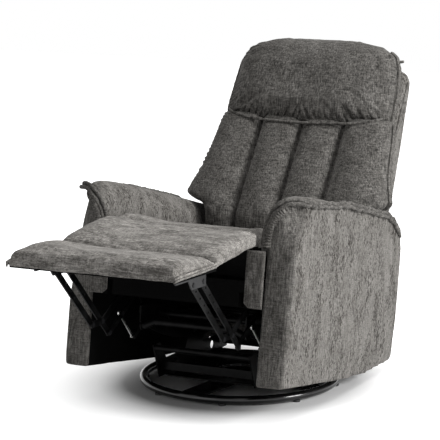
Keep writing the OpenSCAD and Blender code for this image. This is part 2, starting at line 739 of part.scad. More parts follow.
// Rear link: side plate to elbow, crossed by the upper rear link
module rear_link() color("#1d1d1d") difference() {
    side_cut(plane_1, steel_t) link_outline([rear_pivot, cross_joint, elbow_joint], link_w);
    rod_x(rear_pivot, rivet_r + pin_clear, plane_1 - over, plane_2);
    for (p = [cross_joint, elbow_joint]) rod_x(p, rivet_r, plane_1 - over, plane_2);
}

module front_link() color("#1d1d1d") difference() {
    side_cut(plane_1, steel_t) link_outline([front_pivot, low_joint], slim_w);
    rod_x(front_pivot, rivet_r + pin_clear, plane_1 - over, plane_2);
    rod_x(drive_joint, rivet_r, plane_1 - over, plane_2);
    rod_x(low_joint, rivet_r + open_clear, plane_1 - over, plane_2);
}

module upper_rear_link() color("#191919") difference() {
    side_cut(plane_2, steel_t) difference() {
        link_outline([low_joint, bracket_rear], link_w);
        light_row(bracket_rear, cross_joint, link_w * 1.5);
    }
    rod_x(cross_joint, rivet_r + pin_clear, plane_2 - over, plane_3);
    for (p = [low_joint, bracket_rear]) rod_x(p, rivet_r, plane_2 - over, plane_3);
}

module upper_front_link() color("#191919") difference() {
    side_cut(plane_2, steel_t) difference() {
        link_outline([elbow_joint, bracket_front], link_w);
        light_row(bracket_front, elbow_joint, link_w * 1.5);
    }
    rod_x(elbow_joint, rivet_r + pin_clear, plane_2 - over, plane_3);
    rod_x(bracket_front, rivet_r, plane_2 - over, plane_3);
}

module rear_link_rivets() color("#4a4a4a") both_sides() for (p = [cross_joint, elbow_joint])
    rivet(p, plane_1, plane_2 + steel_t + link_gap / 2);

// Rivets that go with the upper links: the low joint and both bracket pivots
module upper_rear_rivets() color("#4a4a4a") both_sides() {
    rivet(low_joint, plane_1 - link_gap / 4, plane_2 + steel_t);
    rivet(bracket_rear, plane_2, plane_3 + steel_t + link_gap / 2);
}

module upper_front_rivets() color("#4a4a4a") both_sides()
    rivet(bracket_front, plane_2, plane_3 + steel_t + link_gap / 2);

module drive_rod_rivets() color("#4a4a4a") both_sides()
    rivet(drive_joint, plane_1, plane_3 + steel_t + link_gap / 2);

// Drive shaft across the body, with a crank on each end outside the side plates
module drive_shaft() color("#1f1f1f") {
    rod_x(shaft_axis, drive_shaft_r, -plate_x + link_gap, plate_x - link_gap);
    both_sides() {
        rod_x(shaft_axis, drive_stub_r, plate_x - link_gap, plane_1);
        difference() {
            side_cut(plane_1, steel_t) link_outline([shaft_axis, crank_joint], slim_w);
            rod_x(crank_joint, rivet_r, plane_1 - over, plane_2);
        }
        rivet(crank_joint, plane_1, plane_3 + steel_t + link_gap / 2);
    }
}

// Bright rods from the cranks to the front links, flattened to eyes at their ends
module drive_rods() color("#c9c9c6") both_sides() difference() {
    union() {
        d = crank_joint - drive_joint;
        for (p = [drive_joint, crank_joint])
            rod_x(p, head_r, plane_3, plane_3 + steel_t);
        side_cut(plane_3, steel_t) link_outline([drive_joint, crank_joint], 2 * rod_r);
    }
    for (p = [drive_joint, crank_joint])
        rod_x(p, rivet_r + pin_clear, plane_3 - over, plane_3 + steel_t + over);
}

// Brackets that carry the back hinge, standing on the seat rails
module back_hinge_brackets() color("#161616") both_sides() difference() {
    side_cut(bracket_x, steel_t) union() {
        translate(back_hinge) circle(hinge_boss_r);
        polygon([back_hinge - [hinge_boss_r, 0], [back_hinge[0] - 3 * hinge_boss_r, rail_top_z],
            [back_hinge[0] + 3 * hinge_boss_r, rail_top_z], back_hinge + [hinge_boss_r, 0]]);
    }
    rod_x(back_hinge, hinge_pin_r, bracket_x - over, bracket_x + steel_t + over);
}

module back_hinge_pins() color("#4a4a4a") both_sides()
    rod_x(back_hinge, hinge_pin_r, ear_x - link_gap / 2, bracket_x + steel_t);

// Back frame: two uprights with hinge ears, a top tube and two cross tubes
module back_frame() color("#1b1b1b") {
    d = upright_high - upright_low;
    a = -atan2(d[0], d[1]);
    both_sides() {
        translate([upright_x, upright_low[0], upright_low[1]]) rotate([a, 0, 0])
            cylinder(h = norm(d), r = upright_r);
        difference() {
            side_cut(ear_x, steel_t) {
                link_outline([back_hinge, upright_low, mix(upright_low, upright_high, 0.2)],
                    2 * upright_r);
                translate(back_hinge) circle(hinge_boss_r);
            }
            rod_x(back_hinge, hinge_pin_r + pin_clear, ear_x - over, ear_x + steel_t + over);
        }
        rod_x(mix(upright_low, upright_high, 0.06), upright_r / 2, upright_x, ear_x);
        rod_x(mix(upright_low, upright_high, 0.16), upright_r / 2, upright_x, ear_x);
    }
    for (t = [[0.08, upright_x], [0.5, shell_half_w - shell_t - soft_clear], [0.94, upright_x]])
        rod_x(mix(upright_low, upright_high, t[0]), cross_tube_r, -t[1], t[1]);
}

// Back shell outline in [y, z]: thin at the top, deep at the bottom, closed at the rear
shell_front = [[294, 500], [453, 856], [480, 918]];
shell_rear = [[362, 332], [430, 560], [545, 952]];
shell_top = [[530, 984], [512, 994], [499, 984]];
shell_hollow_top = [[520, 952], [497, 948]];

// Rear panel and rim; below shell_step_z only the narrower panel is left, so that it passes the arms
module back_shell() color("#4d4944") {
    rim = shell_front[0] + (shell_front[1] - shell_front[0]) * (shell_step_z - shell_front[0][1])
        / (shell_front[1][1] - shell_front[0][1]);
    join = mix(shell_rear[0], shell_rear[1], (shell_step_z - shell_rear[0][1])
        / (shell_rear[1][1] - shell_rear[0][1]));
    difference() {
        side_cut(-shell_half_w, 2 * shell_half_w)
            polygon(concat([rim, join, shell_rear[1], shell_rear[2]], shell_top,
                [shell_front[2], shell_front[1]]));
        side_cut(-shell_half_w + shell_t, 2 * (shell_half_w - shell_t))
            polygon(concat([rim - [shell_t, shell_t], join - [shell_t, shell_t],
                shell_rear[1] - [shell_t, 0], shell_rear[2] - [shell_t * 1.4, shell_t * 2]],
                [shell_hollow_top[1], shell_front[2] - [shell_t, 0], shell_front[1] - [shell_t, 0]]));
    }
    side_cut(-shell_low_half_w, 2 * shell_low_half_w) polygon([join, join - [shell_t, 0],
        shell_rear[0] - [shell_t, 0], shell_rear[0]]);
}

// Where the cushion's rear face lies at a height, just in front of the frame's uprights
back_lean = atan2(upright_high[0] - upright_low[0], upright_high[1] - upright_low[1]);
function back_line(z) = upright_low[0] + (z - upright_low[1]) * tan(back_lean)
    - (upright_r + soft_clear) / cos(back_lean);

// Back cushion lines from the seat up to the headrest: front face, rear face and half widths
back_front = [[180, 462], [177, 500], [200, 552], [214, 580], [250, 640], [290, 712], [326, 778],
    [340, 804]];
back_rear = [for (p = back_front) [back_line(p[1]), p[1]]];
back_ws = [228, 240, 244, wing_half_w - 5, 312, 303, 293, 289];

module back_cushion() color("#605b55")
    pad(back_front, back_rear, back_ws, channel_us, channel_full, channel_in, back_seam_share);

head_low_z = back_front[len(back_front) - 1][1] + soft_clear;

// Headrest pillow lines from its lower roll over its top to its rear edge
head_front = [[362, head_low_z], [334, 822], [337, 850], [355, 900], [366, 940], [384, 990], [412, 1036],
    [444, head_top_z - 8], [472, head_top_z]];
head_rear = [[back_line(head_low_z), head_low_z], [back_line(822), 822], [back_line(850), 850],
    [back_line(900), 900], [483, 935], [496, 975], [504, 1010], [506, 1040], [504, 1060]];
head_ws = [274, headrest_half_w, headrest_half_w, 279, 277, 272, 264, 248, 228];

module headrest_pillow() color("#5e5953")
    pad(head_front, head_rear, head_ws, cushion_us, cushion_full, cushion_in, back_seam_share);

base_ring();
base_cross_bars();
base_hub();
floor_glides();
bearing_balls();
turning_race();
swivel_plate();
on_side(1) side_frame();  // left_side_frame
on_side(-1) side_frame();  // right_side_frame
cross_rail();  // front_cross_rail
mirror([0, 1, 0]) cross_rail();  // rear_cross_rail
bumper_bars();
rocker_pins();
carriage_bolts();
rocker_spring(1);  // left_rocker_spring
rocker_spring(-1);  // right_rocker_spring
rocked() on_side(1) rocker_plate();  // left_rocker_plate
rocked() on_side(-1) rocker_plate();  // right_rocker_plate
rocked() arched_cross_tube();
rocked() rear_cross_tube();
rocked() plate_spacers();
rocked() on_side(1) side_plate();  // left_side_plate
rocked() on_side(-1) side_plate();  // right_side_plate
rocked() side_plate_rivets();
rocked() on_side(1) seat_rail();  // left_seat_rail
rocked() on_side(-1) seat_rail();  // right_seat_rail
rocked() front_seat_rail();
rocked() rear_seat_rail();
rocked() rear_apron();
rocked() seat_webbing();
rocked() front_strips();
rocked() on_side(1) arm_box();  // left_arm_box
rocked() on_side(-1) arm_box();  // right_arm_box
rocked() on_side(1) arm_pad();  // left_arm_pad
rocked() on_side(-1) arm_pad();  // right_arm_pad
rocked() seat_cushion();
rocked() back_hinge_brackets();
rocked() back_hinge_pins();
rocked() back_frame();
rocked() back_shell();
rocked() back_cushion();
rocked() headrest_pillow();
rocked() on_side(1) rear_link();  // left_rear_link
rocked() on_side(-1) rear_link();  // right_rear_link
rocked() on_side(1) front_link();  // left_front_link
rocked() on_side(-1) front_link();  // right_front_link
rocked() on_side(1) upper_rear_link();  // left_upper_rear_link
rocked() on_side(-1) upper_rear_link();  // right_upper_rear_link
rocked() on_side(1) upper_front_link();  // left_upper_front_link
rocked() on_side(-1) upper_front_link();  // right_upper_front_link
rocked() rear_link_rivets();
rocked() upper_rear_rivets();
rocked() upper_front_rivets();
rocked() drive_rod_rivets();
rocked() footrest_brackets();
rocked() footrest_board();
rocked() footrest_pad();
rocked() bridge_pad();
rocked() drive_shaft();
rocked() drive_rods();
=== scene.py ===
import math

import bmesh
import bpy
import numpy as np
from mathutils import Matrix, Vector, noise


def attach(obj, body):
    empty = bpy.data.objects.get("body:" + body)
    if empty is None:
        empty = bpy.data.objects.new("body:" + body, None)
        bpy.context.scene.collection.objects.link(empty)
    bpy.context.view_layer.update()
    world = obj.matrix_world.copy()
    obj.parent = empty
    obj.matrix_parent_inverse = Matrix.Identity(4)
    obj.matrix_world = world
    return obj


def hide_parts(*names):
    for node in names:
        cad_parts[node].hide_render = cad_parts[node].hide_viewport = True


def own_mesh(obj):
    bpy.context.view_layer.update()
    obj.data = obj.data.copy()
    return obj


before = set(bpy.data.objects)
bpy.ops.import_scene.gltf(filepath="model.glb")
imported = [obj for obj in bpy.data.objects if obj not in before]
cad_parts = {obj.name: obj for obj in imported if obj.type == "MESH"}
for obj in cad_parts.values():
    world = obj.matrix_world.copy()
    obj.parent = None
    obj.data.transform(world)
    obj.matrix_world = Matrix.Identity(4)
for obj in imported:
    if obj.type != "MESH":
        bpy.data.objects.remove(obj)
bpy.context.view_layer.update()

# The chair body is built level, in metres, and then rocked 9 degrees back about the rocker pins,
# as the CAD model is.
PIVOT_Z = 0.150
ROCK = math.radians(-9)
LEVEL = (Matrix.Translation((0, 0, PIVOT_Z)) @ Matrix.Rotation(ROCK, 4, "X")
         @ Matrix.Translation((0, 0, -PIVOT_Z)))
MM = 0.001
TURN = 6.283
SIDES = ((1, "left"), (-1, "right"))
scene = bpy.context.scene


# Mesh helpers
def new_object(name, verts, faces, smooth=True):
    me = bpy.data.meshes.new(name)
    me.from_pydata([tuple(map(float, v)) for v in verts], [], [tuple(map(int, f)) for f in faces])
    me.validate()
    me.update()
    if smooth:
        me.shade_smooth()
    ob = bpy.data.objects.new(name, me)
    scene.collection.objects.link(ob)
    return ob


def coords(ob):
    co = np.empty(len(ob.data.vertices) * 3)
    ob.data.vertices.foreach_get("co", co)
    return co.reshape(-1, 3)


def normals(ob):
    no = np.empty(len(ob.data.vertices) * 3)
    ob.data.vertices.foreach_get("normal", no)
    return no.reshape(-1, 3)


def set_coords(ob, co):
    ob.data.vertices.foreach_set("co", np.ascontiguousarray(co, dtype=np.float64).ravel())
    ob.data.update()


def evaluated(ob):
    depsgraph = bpy.context.evaluated_depsgraph_get()
    return bpy.data.meshes.new_from_object(ob.evaluated_get(depsgraph))


def apply_modifiers(ob):
    me = evaluated(ob)
    ob.modifiers.clear()
    old = ob.data
    ob.data = me
    bpy.data.meshes.remove(old)
    ob.data.shade_smooth()
    return ob


def subdivide(ob):
    m = ob.modifiers.new("sub", "SUBSURF")
    m.levels = 1
    m.render_levels = 1
    return apply_modifiers(ob)


def rocked(ob):
    """Turn a level object into the chair's rest pose."""
    ob.data.transform(LEVEL)
    ob.data.update()
    return ob


def mirrored(ob, name):
    me = ob.data.copy()
    me.transform(Matrix.Scale(-1, 4, (1, 0, 0)))
    me.flip_normals()
    me.update()
    o = bpy.data.objects.new(name, me)
    scene.collection.objects.link(o)
    return o


def mix(a, b, t):
    return a * (1 - t) + b * t


def interp(xs, ys, x):
    return np.interp(x, xs, ys)


def arc_lengths(points):
    """How far each point lies along the line from its first point."""
    return np.concatenate([[0], np.cumsum(np.linalg.norm(np.diff(points, axis=0), axis=1))])


def resampled(points, n, closed=False):
    """n points evenly along a line; a closed line comes back without its last point."""
    s = arc_lengths(points)
    at = np.linspace(0, s[-1], n, endpoint=not closed)
    return np.column_stack([np.interp(at, s, points[:, k]) for k in range(points.shape[1])])


def with_end_points(points):
    """The points with one more before and behind them, which a Catmull-Rom curve needs."""
    p = np.array(points, float)
    return np.vstack([2 * p[0] - p[1], p, 2 * p[-1] - p[-2]])


def catmull_rom(a, b, c, d, t):
    """The point at share t of the way from b to c."""
    square = 2 * a - 5 * b + 4 * c - d
    cube = 3 * b - a - 3 * c + d
    return 0.5 * (2 * b + (c - a) * t + square * t * t + cube * t ** 3)


def smooth_curve(points, n):
    """n points evenly along a Catmull-Rom curve through points."""
    p = with_end_points(points)
    out = []
    for i in range(1, len(p) - 2):
        for t in np.linspace(0, 1, 24, endpoint=False):
            out.append(catmull_rom(p[i - 1], p[i], p[i + 1], p[i + 2], t))
    out.append(p[-2])
    return resampled(np.array(out), n)


def loft(name, rings):
    """A skin over closed rings (n, m, 3), ends closed to their middles."""
    r = np.array(rings, float)
    n, m = r.shape[:2]
    verts = list(r.reshape(-1, 3))
    faces = []
    for i in range(n - 1):
        for j in range(m):
            k = (j + 1) % m
            faces.append((i * m + j, i * m + k, (i + 1) * m + k, (i + 1) * m + j))
    for i, flip in ((0, True), (n - 1, False)):
        c = len(verts)
        verts.append(r[i].mean(axis=0))
        for j in range(m):
            k = (j + 1) % m
            f = (i * m + j, i * m + k, c)
            faces.append(f[::-1] if flip else f)
    ob = new_object(name, verts, faces)
    weld(ob)
    return ob


def weld(ob):
    """Join doubled points and turn all faces outwards."""
    bm = bmesh.new()
    bm.from_mesh(ob.data)
    bmesh.ops.remove_doubles(bm, verts=bm.verts, dist=1e-5)
    bmesh.ops.recalc_face_normals(bm, faces=bm.faces)
    bm.to_mesh(ob.data)
    bm.free()
    ob.data.shade_smooth()


def spline(points, s):
    """A Catmull-Rom curve through points, at the row numbers s."""
    p = with_end_points(points)
    s = np.asarray(s, float)
    k = np.clip(s.astype(int), 0, len(points) - 2)
    return catmull_rom(p[k], p[k + 1], p[k + 2], p[k + 3], (s - k)[:, None])


def rows_of(outer, inner, half_ws, seam, n):
    """n rows of a pad, evenly along its outer line: outer, inner, half widths and side seam."""
    dense = np.linspace(0, len(outer) - 1, 800)
    arc = arc_lengths(spline(outer, dense))
    s = np.interp(np.linspace(0, arc[-1], n), arc, dense)
    o, i = spline(outer, s), spline(inner, s)
    w = np.interp(s, range(len(half_ws)), half_ws)
    share = np.interp(s, range(len(half_ws)), np.broadcast_to(seam, len(half_ws)))[:, None]
    return o, i, w, o * (1 - share) + i * share


def seam_line(outer, inner, half_ws, seam, side, n):
    """n points along a pad's side seam, in metres."""
    o, i, w, m = rows_of(outer, inner, half_ws, seam, n)
    return np.column_stack([side * w, m]) * MM


def near(co, line, r):
    """Which points lie within r of a dense line's points."""
    out = np.zeros(len(co), bool)
    for k in range(0, len(co), 2000):
        out[k:k + 2000] = np.linalg.norm(co[k:k + 2000, None] - line[None], axis=2).min(axis=1) < r
    return out


def pad(name, outer, inner, half_ws, us, full_out, full_in, seam=0.5, split=6):
    """A pad as in the CAD source, in millimetres: outer and inner (y, z) lines, half widths and side
    seam, resampled finely. full_out and full_in give the fullness at each station across."""
    k = len(outer) * split
    o, i, w, m = rows_of(outer, inner, half_ws, seam, k)
    rings = []
    for n, u in enumerate(us):
        a = m + (o - m) * full_out[n]
        b = m + (i - m) * full_in[n]
        there = [(w[j] * u, a[j, 0], a[j, 1]) for j in range(k)]
        back_again = [(w[j] * u, b[j, 0], b[j, 1]) for j in range(k - 1, -1, -1)]
        rings.append(np.array(there + back_again) * MM)
    return loft(name, rings)


def remesh(ob, voxel):
    m = ob.modifiers.new("remesh", "REMESH")
    m.mode = "VOXEL"
    m.voxel_size = voxel
    return apply_modifiers(ob)


def puff(ob, voxel=0.006, pressure=4.0, cap=0.022, frames=20, pin=None, bend=0.4, limit=None):
    """Cloth pressure on the mesh (remeshed where voxel is given), each point's move capped, applied."""
    if voxel:
        remesh(ob, voxel)
    start = coords(ob).copy()
    if pin is not None:
        vg = ob.vertex_groups.new(name="pin")
        w = pin(start)
        for i, v in enumerate(w):
            if v > 0.01:
                vg.add([i], float(min(1, v)), "REPLACE")
    cl = ob.modifiers.new("cloth", "CLOTH")
    s = cl.settings
    s.quality = 6
    s.mass = 0.3
    s.use_pressure = True
    s.uniform_pressure_force = pressure
    s.tension_stiffness = 12
    s.compression_stiffness = 12
    s.shear_stiffness = 4
    s.bending_stiffness = bend
    s.effector_weights.gravity = 0
    if pin is not None:
        s.vertex_group_mass = "pin"
    cl.collision_settings.use_collision = False
    cl.point_cache.frame_start = 1
    cl.point_cache.frame_end = frames
    for f in range(1, frames + 1):
        scene.frame_set(f)
    me = evaluated(ob)
    co = np.empty(len(me.vertices) * 3)
    me.vertices.foreach_get("co", co)
    co = co.reshape(-1, 3)
    bpy.data.meshes.remove(me)
    ob.modifiers.clear()
    scene.frame_set(1)
    d = co - start
    length = np.linalg.norm(d, axis=1, keepdims=True)
    d *= np.minimum(1, cap / np.maximum(length, 1e-9))
    co = start + d
    if limit is not None:
        co = limit(co)
    set_coords(ob, co)
    ob.vertex_groups.clear()
    return ob


def vnoise(co, scale, seed):
    """Fractal noise at each point."""
    off = Vector((seed * 7.13, seed * 3.71, seed * 5.37))
    return np.array([noise.fractal(Vector(map(float, c)) * scale + off, 0.8, 2.1, 3) for c in co])


def displace(ob, fn):
    co = coords(ob)
    no = normals(ob)
    set_coords(ob, co + fn(co, no))
    return ob


def tube(name, path, radius, sides=10, ruche=0.0, wave=0.010, seed=0):
    """A tube along a path (n, 3), its radius ruched with wrinkles across it."""
    p = np.array(path, float)
    n = len(p)
    t = np.gradient(p, axis=0)
    t /= np.linalg.norm(t, axis=1, keepdims=True)
    s = arc_lengths(p)
    rng = np.random.default_rng(seed)
    ph = rng.uniform(0, 6.28, 4)
    around = np.linspace(0, 2 * math.pi, sides, endpoint=False)
    rings = []
    for i in range(n):
        a = np.cross(t[i], (0.0, 0.0, 1.0))
        if np.linalg.norm(a) < 1e-3:
            a = np.cross(t[i], (1, 0, 0))
        a /= np.linalg.norm(a)
        b = np.cross(a, t[i])
        wobble = 0.5 * math.sin(s[i] / wave * TURN + ph[0] + 2.2 * math.sin(s[i] / wave * 0.9 + ph[1]))
        wobble += 0.5 * math.sin(s[i] / wave * 2.3 + ph[2] + 1.7 * math.sin(s[i] / wave * 1.7 + ph[3]))
        r = radius * (1 + ruche * wobble)
        r *= min(1, 0.35 + min(i, n - 1 - i) * 0.5)
        rings.append([p[i] + a * math.cos(q) * r + b * math.sin(q) * r for q in around])
    return loft(name, rings)


# Materials
def nodes_of(name):
    mat = bpy.data.materials.new(name)
    mat.use_nodes = True
    nt = mat.node_tree
    bsdf = next(n for n in nt.nodes if n.type == "BSDF_PRINCIPLED")
    return mat, nt, bsdf


def noise_node(nt, vector, scale, detail=3, rough=0.6, distortion=0.0):
    n = nt.nodes.new("ShaderNodeTexNoise")
    n.inputs["Scale"].default_value = scale
    n.inputs["Detail"].default_value = detail
    n.inputs["Roughness"].default_value = rough
    n.inputs["Distortion"].default_value = distortion
    nt.links.new(vector, n.inputs["Vector"])
    return n.outputs["Fac"]


def scaled(nt, source, sx, sy, sz, rot=(0, 0, 0)):
    m = nt.nodes.new("ShaderNodeMapping")
    m.inputs["Scale"].default_value = (sx, sy, sz)
    m.inputs["Rotation"].default_value = rot
    nt.links.new(source, m.inputs["Vector"])
    return m.outputs["Vector"]


def ramp(nt, source, stops):
    r = nt.nodes.new("ShaderNodeValToRGB")
    r.color_ramp.interpolation = "LINEAR"
    while len(r.color_ramp.elements) < len(stops):
        r.color_ramp.elements.new(0.5)
    for e, (p, c) in zip(r.color_ramp.elements, stops):
        e.position = p
        e.color = (*c, 1) if len(c) == 3 else c
    nt.links.new(source, r.inputs["Fac"])
    return r.outputs["Color"]


def mix_color(nt, fac, a, b, mode="MIX"):
    m = nt.nodes.new("ShaderNodeMix")
    m.data_type = "RGBA"
    m.blend_type = mode
    for sock, v in ((m.inputs[0], fac), (m.inputs[6], a), (m.inputs[7], b)):
        if isinstance(v, (int, float)):
            sock.default_value = v
        elif isinstance(v, tuple):
            sock.default_value = (*v, 1)
        else:
            nt.links.new(v, sock)
    return m.outputs[2]


def math_node(nt, op, a, b=None):
    m = nt.nodes.new("ShaderNodeMath")
    m.operation = op
    for i, v in enumerate((a, b)):
        if v is None:
            continue
        if isinstance(v, (int, float)):
            m.inputs[i].default_value = v
        else:
            nt.links.new(v, m.inputs[i])
    return m.outputs[0]


def grey(value):
    return (value, value, value)


def times(nt, a, b):
    return math_node(nt, "MULTIPLY", a, b)


def bump(nt, bsdf, height, strength, distance):
    b = nt.nodes.new("ShaderNodeBump")
    b.inputs["Strength"].default_value = strength
    b.inputs["Distance"].default_value = distance
    nt.links.new(height, b.inputs["Height"])
    nt.links.new(b.outputs["Normal"], bsdf.inputs["Normal"])


PILE_GREY = 0.191
CLOUD_CONTRAST = 0.215


def chenille(name, grain="z", light=1.0, slub=1.0, hatch=1.0, clouds=1.0):
    """Cut-pile chenille: a linen-like cross weave of dark and pale yarns, with dark slubs along the
    grain and clouds where the pile lies differently. grain is the level axis that the slubs run along."""
    mat, nt, bsdf = nodes_of(name)
    tc = nt.nodes.new("ShaderNodeTexCoord")
    base = scaled(nt, tc.outputs["Object"], 1, 1, 1, (-ROCK, 0, 0))

    def streaks(fine, long):
        return {"x": (long, fine, fine), "y": (fine, long, fine), "z": (fine, fine, long)}[grain]

    def cross(fine, long):
        return {"x": (fine, long, long), "y": (long, fine, long), "z": (long, long, fine)}[grain]

    warp = noise_node(nt, scaled(nt, base, *streaks(260, 26)), 1.0, 2, 0.55)
    weft = noise_node(nt, scaled(nt, base, *cross(330, 48)), 1.0, 2, 0.55)
    fine = noise_node(nt, base, 420, 2, 0.6)
    slubs = noise_node(nt, scaled(nt, base, *streaks(230, 95)), 1.0, 2, 0.6, 0.3)
    field = noise_node(nt, scaled(nt, base, *streaks(20, 8)), 1.0, 3, 0.6, 0.6)
    cloud = noise_node(nt, scaled(nt, base, *streaks(30, 16)), 1.0, 3, 0.62, 0.7)

    # light scales the whole pile's lightness; the copies below use it to paint light and shade into the
    # fabric
    dark = PILE_GREY * light * (1 - CLOUD_CONTRAST * clouds)
    pale = PILE_GREY * light * (1 + CLOUD_CONTRAST * clouds)
    dark_pile = (dark, 0.95 * dark, 0.88 * dark)
    pale_pile = (pale, 0.955 * pale, 0.895 * pale)
    col = ramp(nt, cloud, [(0.33, dark_pile), (0.67, pale_pile)])
    weave = math_node(nt, "ADD", times(nt, warp, 0.60), times(nt, weft, 0.40))
    low, high = 1 - 0.58 * hatch, 1 + 0.54 * hatch
    tone = ramp(nt, weave, [(0.36, grey(low)), (0.50, grey(0.98)), (0.63, grey(high))])
    col = mix_color(nt, 1.0, col, tone, "MULTIPLY")
    grit = ramp(nt, fine, [(0.34, grey(1 - 0.3 * hatch)), (0.66, grey(1 + 0.3 * hatch))])
    col = mix_color(nt, 1.0, col, grit, "MULTIPLY")
    clustered = math_node(nt, "ADD", slubs, times(nt, field, 0.55))
    mask = ramp(nt, clustered, [(0.79, grey(0)), (0.88, grey(1))])
    slub_color = (0.040 * light, 0.036 * light, 0.032 * light)
    col = mix_color(nt, times(nt, mask, min(1.0, 0.75 * slub)), col, slub_color)
    nt.links.new(col, bsdf.inputs["Base Color"])

    bsdf.inputs["Roughness"].default_value = 0.95
    bsdf.inputs["Specular IOR Level"].default_value = 0.10
    bsdf.inputs["Sheen Weight"].default_value = 0.12
    bsdf.inputs["Sheen Roughness"].default_value = 0.4
    bsdf.inputs["Sheen Tint"].default_value = (0.8, 0.78, 0.75, 1)
    bump(nt, bsdf, math_node(nt, "ADD", times(nt, warp, 0.8), times(nt, weft, 0.8)), 0.6, 0.002)
    return mat


DUST = (0.16, 0.155, 0.15)


def paint(name, color, rough, coat=0.0, wear=0.12, metal=0.0, spec=0.5):
    """Painted or bare steel, with a faint orange peel, specks of dust and rubbed, lighter patches."""
    mat, nt, bsdf = nodes_of(name)
    tc = nt.nodes.new("ShaderNodeTexCoord")
    peel = noise_node(nt, tc.outputs["Object"], 700, 2, 0.5)
    smear = noise_node(nt, tc.outputs["Object"], 22, 4, 0.65, 0.3)
    spots = noise_node(nt, tc.outputs["Object"], 160, 3, 0.7)
    lighter = tuple(min(1, v * 2.2 + 0.02) for v in color)
    rubbed = ramp(nt, smear, [(0.45, grey(0)), (0.8, grey(1))])
    dusty = ramp(nt, spots, [(0.62, grey(0)), (0.78, grey(1))])
    col = mix_color(nt, times(nt, rubbed, 0.5), color, lighter)
    col = mix_color(nt, times(nt, dusty, wear), col, DUST)
    nt.links.new(col, bsdf.inputs["Base Color"])
    r = nt.nodes.new("ShaderNodeMapRange")
    r.inputs["To Min"].default_value = rough * 0.75
    r.inputs["To Max"].default_value = min(1, rough * 1.35)
    nt.links.new(smear, r.inputs["Value"])
    nt.links.new(r.outputs["Result"], bsdf.inputs["Roughness"])
    bsdf.inputs["Metallic"].default_value = metal
    bsdf.inputs["Specular IOR Level"].default_value = spec
    bsdf.inputs["Coat Weight"].default_value = coat
    bsdf.inputs["Coat Roughness"].default_value = 0.12
    bump(nt, bsdf, peel, 0.12, 0.0004)
    return mat


def dust_cloth(name):
    """Thin black spun cloth with a fine dimpled print of its fibres."""
    mat, nt, bsdf = nodes_of(name)
    tc = nt.nodes.new("ShaderNodeTexCoord")
    fibres = noise_node(nt, tc.outputs["Object"], 900, 3, 0.7, 0.5)
    folds = noise_node(nt, scaled(nt, tc.outputs["Object"], 14, 14, 5), 1.0, 3, 0.5)
    col = ramp(nt, fibres, [(0.35, grey(0.002)), (0.6, grey(0.006)), (0.8, grey(0.016))])
    nt.links.new(col, bsdf.inputs["Base Color"])
    bsdf.inputs["Roughness"].default_value = 0.95
    bsdf.inputs["Specular IOR Level"].default_value = 0.03
    bump(nt, bsdf, math_node(nt, "ADD", fibres, times(nt, folds, 3.0)), 0.3, 0.001)
    return mat


# One chenille in five copies that differ in lightness, which paints light and shade by how each part faces
# the lamps: the flat tops (seat, bridge, footrest) lightest, the outer panels next, and the upright fronts,
# welts, back cushion and headrest darkest.
fabric_back_painted_shade = chenille("chenille_back", "z", light=0.50, slub=0.35, hatch=1.2, clouds=1.1)
fabric_upright_painted_shade = chenille("chenille_upright", "z", light=0.60, slub=0.5)
fabric_flat_painted_light = chenille("chenille_flat", "x", light=1.16, slub=0.8, hatch=0.75, clouds=1.7)
fabric_panel = chenille("chenille_panel", "z", light=0.80, slub=1.3, hatch=0.55, clouds=0.7)
fabric_welt_painted_shade = chenille("chenille_welt", "x", light=0.50, slub=0.2)
gloss_black = paint("gloss_black", (0.0025, 0.0025, 0.0028), 0.16, coat=0.35, wear=0.01, spec=0.3)
satin_black = paint("satin_black", (0.0012, 0.0012, 0.0013), 0.36, wear=0.02, spec=0.08)
grey_black = paint("satin_dark_grey", (0.008, 0.008, 0.0085), 0.42, wear=0.06, spec=0.3)
bright = paint("rivet_steel", (0.32, 0.32, 0.33), 0.34, wear=0.2, metal=1.0)
dark_rivet = paint("rivet_black", (0.010, 0.010, 0.011), 0.40, wear=0.1, metal=0.3, spec=0.2)
zinc = paint("zinc_rod", (0.66, 0.66, 0.64), 0.28, wear=0.2, metal=1.0)
plastic = paint("black_plastic", (0.012, 0.012, 0.012), 0.5, wear=0.06)
cloth_black = dust_cloth("dust_cloth")


def dress(ob, mat):
    ob.data.materials.clear()
    ob.data.materials.append(mat)
    return ob


def both_sides(*names):
    return [side + "_" + name for sign, side in SIDES for name in names]


node_looks = [
    (gloss_black, ["base_ring", "base_cross_bars"]),
    (satin_black, ["base_hub", "turning_race", "swivel_plate", "front_cross_rail", "rear_cross_rail",
                   "bumper_bars", "arched_cross_tube", "rear_cross_tube", "plate_spacers",
                   "back_hinge_brackets", "back_frame", "drive_shaft"]),
    (satin_black, both_sides("side_frame", "rocker_plate", "side_plate", "rear_link", "front_link",
                             "upper_rear_link", "upper_front_link")),
    (grey_black, ["footrest_brackets"]),
    (dark_rivet, ["rear_link_rivets", "upper_rear_rivets", "upper_front_rivets", "drive_rod_rivets",
                  "side_plate_rivets", "back_hinge_pins", "rocker_pins", "carriage_bolts"]),
    (bright, ["bearing_balls"]),
    (dark_rivet, both_sides("rocker_spring")),
    (zinc, ["drive_rods"]),
    (plastic, ["floor_glides"]),
    (cloth_black, ["rear_seat_rail", "front_seat_rail", "seat_webbing", "footrest_board"]),
    (cloth_black, both_sides("seat_rail")),
]
for mat, names in node_looks:
    for n in names:
        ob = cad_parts[n]
        if not ob.material_slots:
            ob.data.materials.append(mat)
        for slot in ob.material_slots:
            slot.material = mat


def piece(ob, body, mat, replaces=()):
    dress(ob, mat)
    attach(ob, body)
    if replaces:
        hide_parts(*replaces)
    return ob


# Seat and bridge
# Shares of the half width at which a pad has its rings, closer together at its sides
ACROSS = np.array([-1, -0.985, -0.94, -0.86, -0.7, -0.45, -0.2, 0, 0.2, 0.45, 0.7, 0.86, 0.94, 0.985, 1])


def full(us, edge, power):
    """The fullness at each share across: 1 in the middle, falling to edge at the sides."""
    return edge + (1 - edge) * np.sqrt(np.maximum(0, 1 - np.abs(us) ** power))


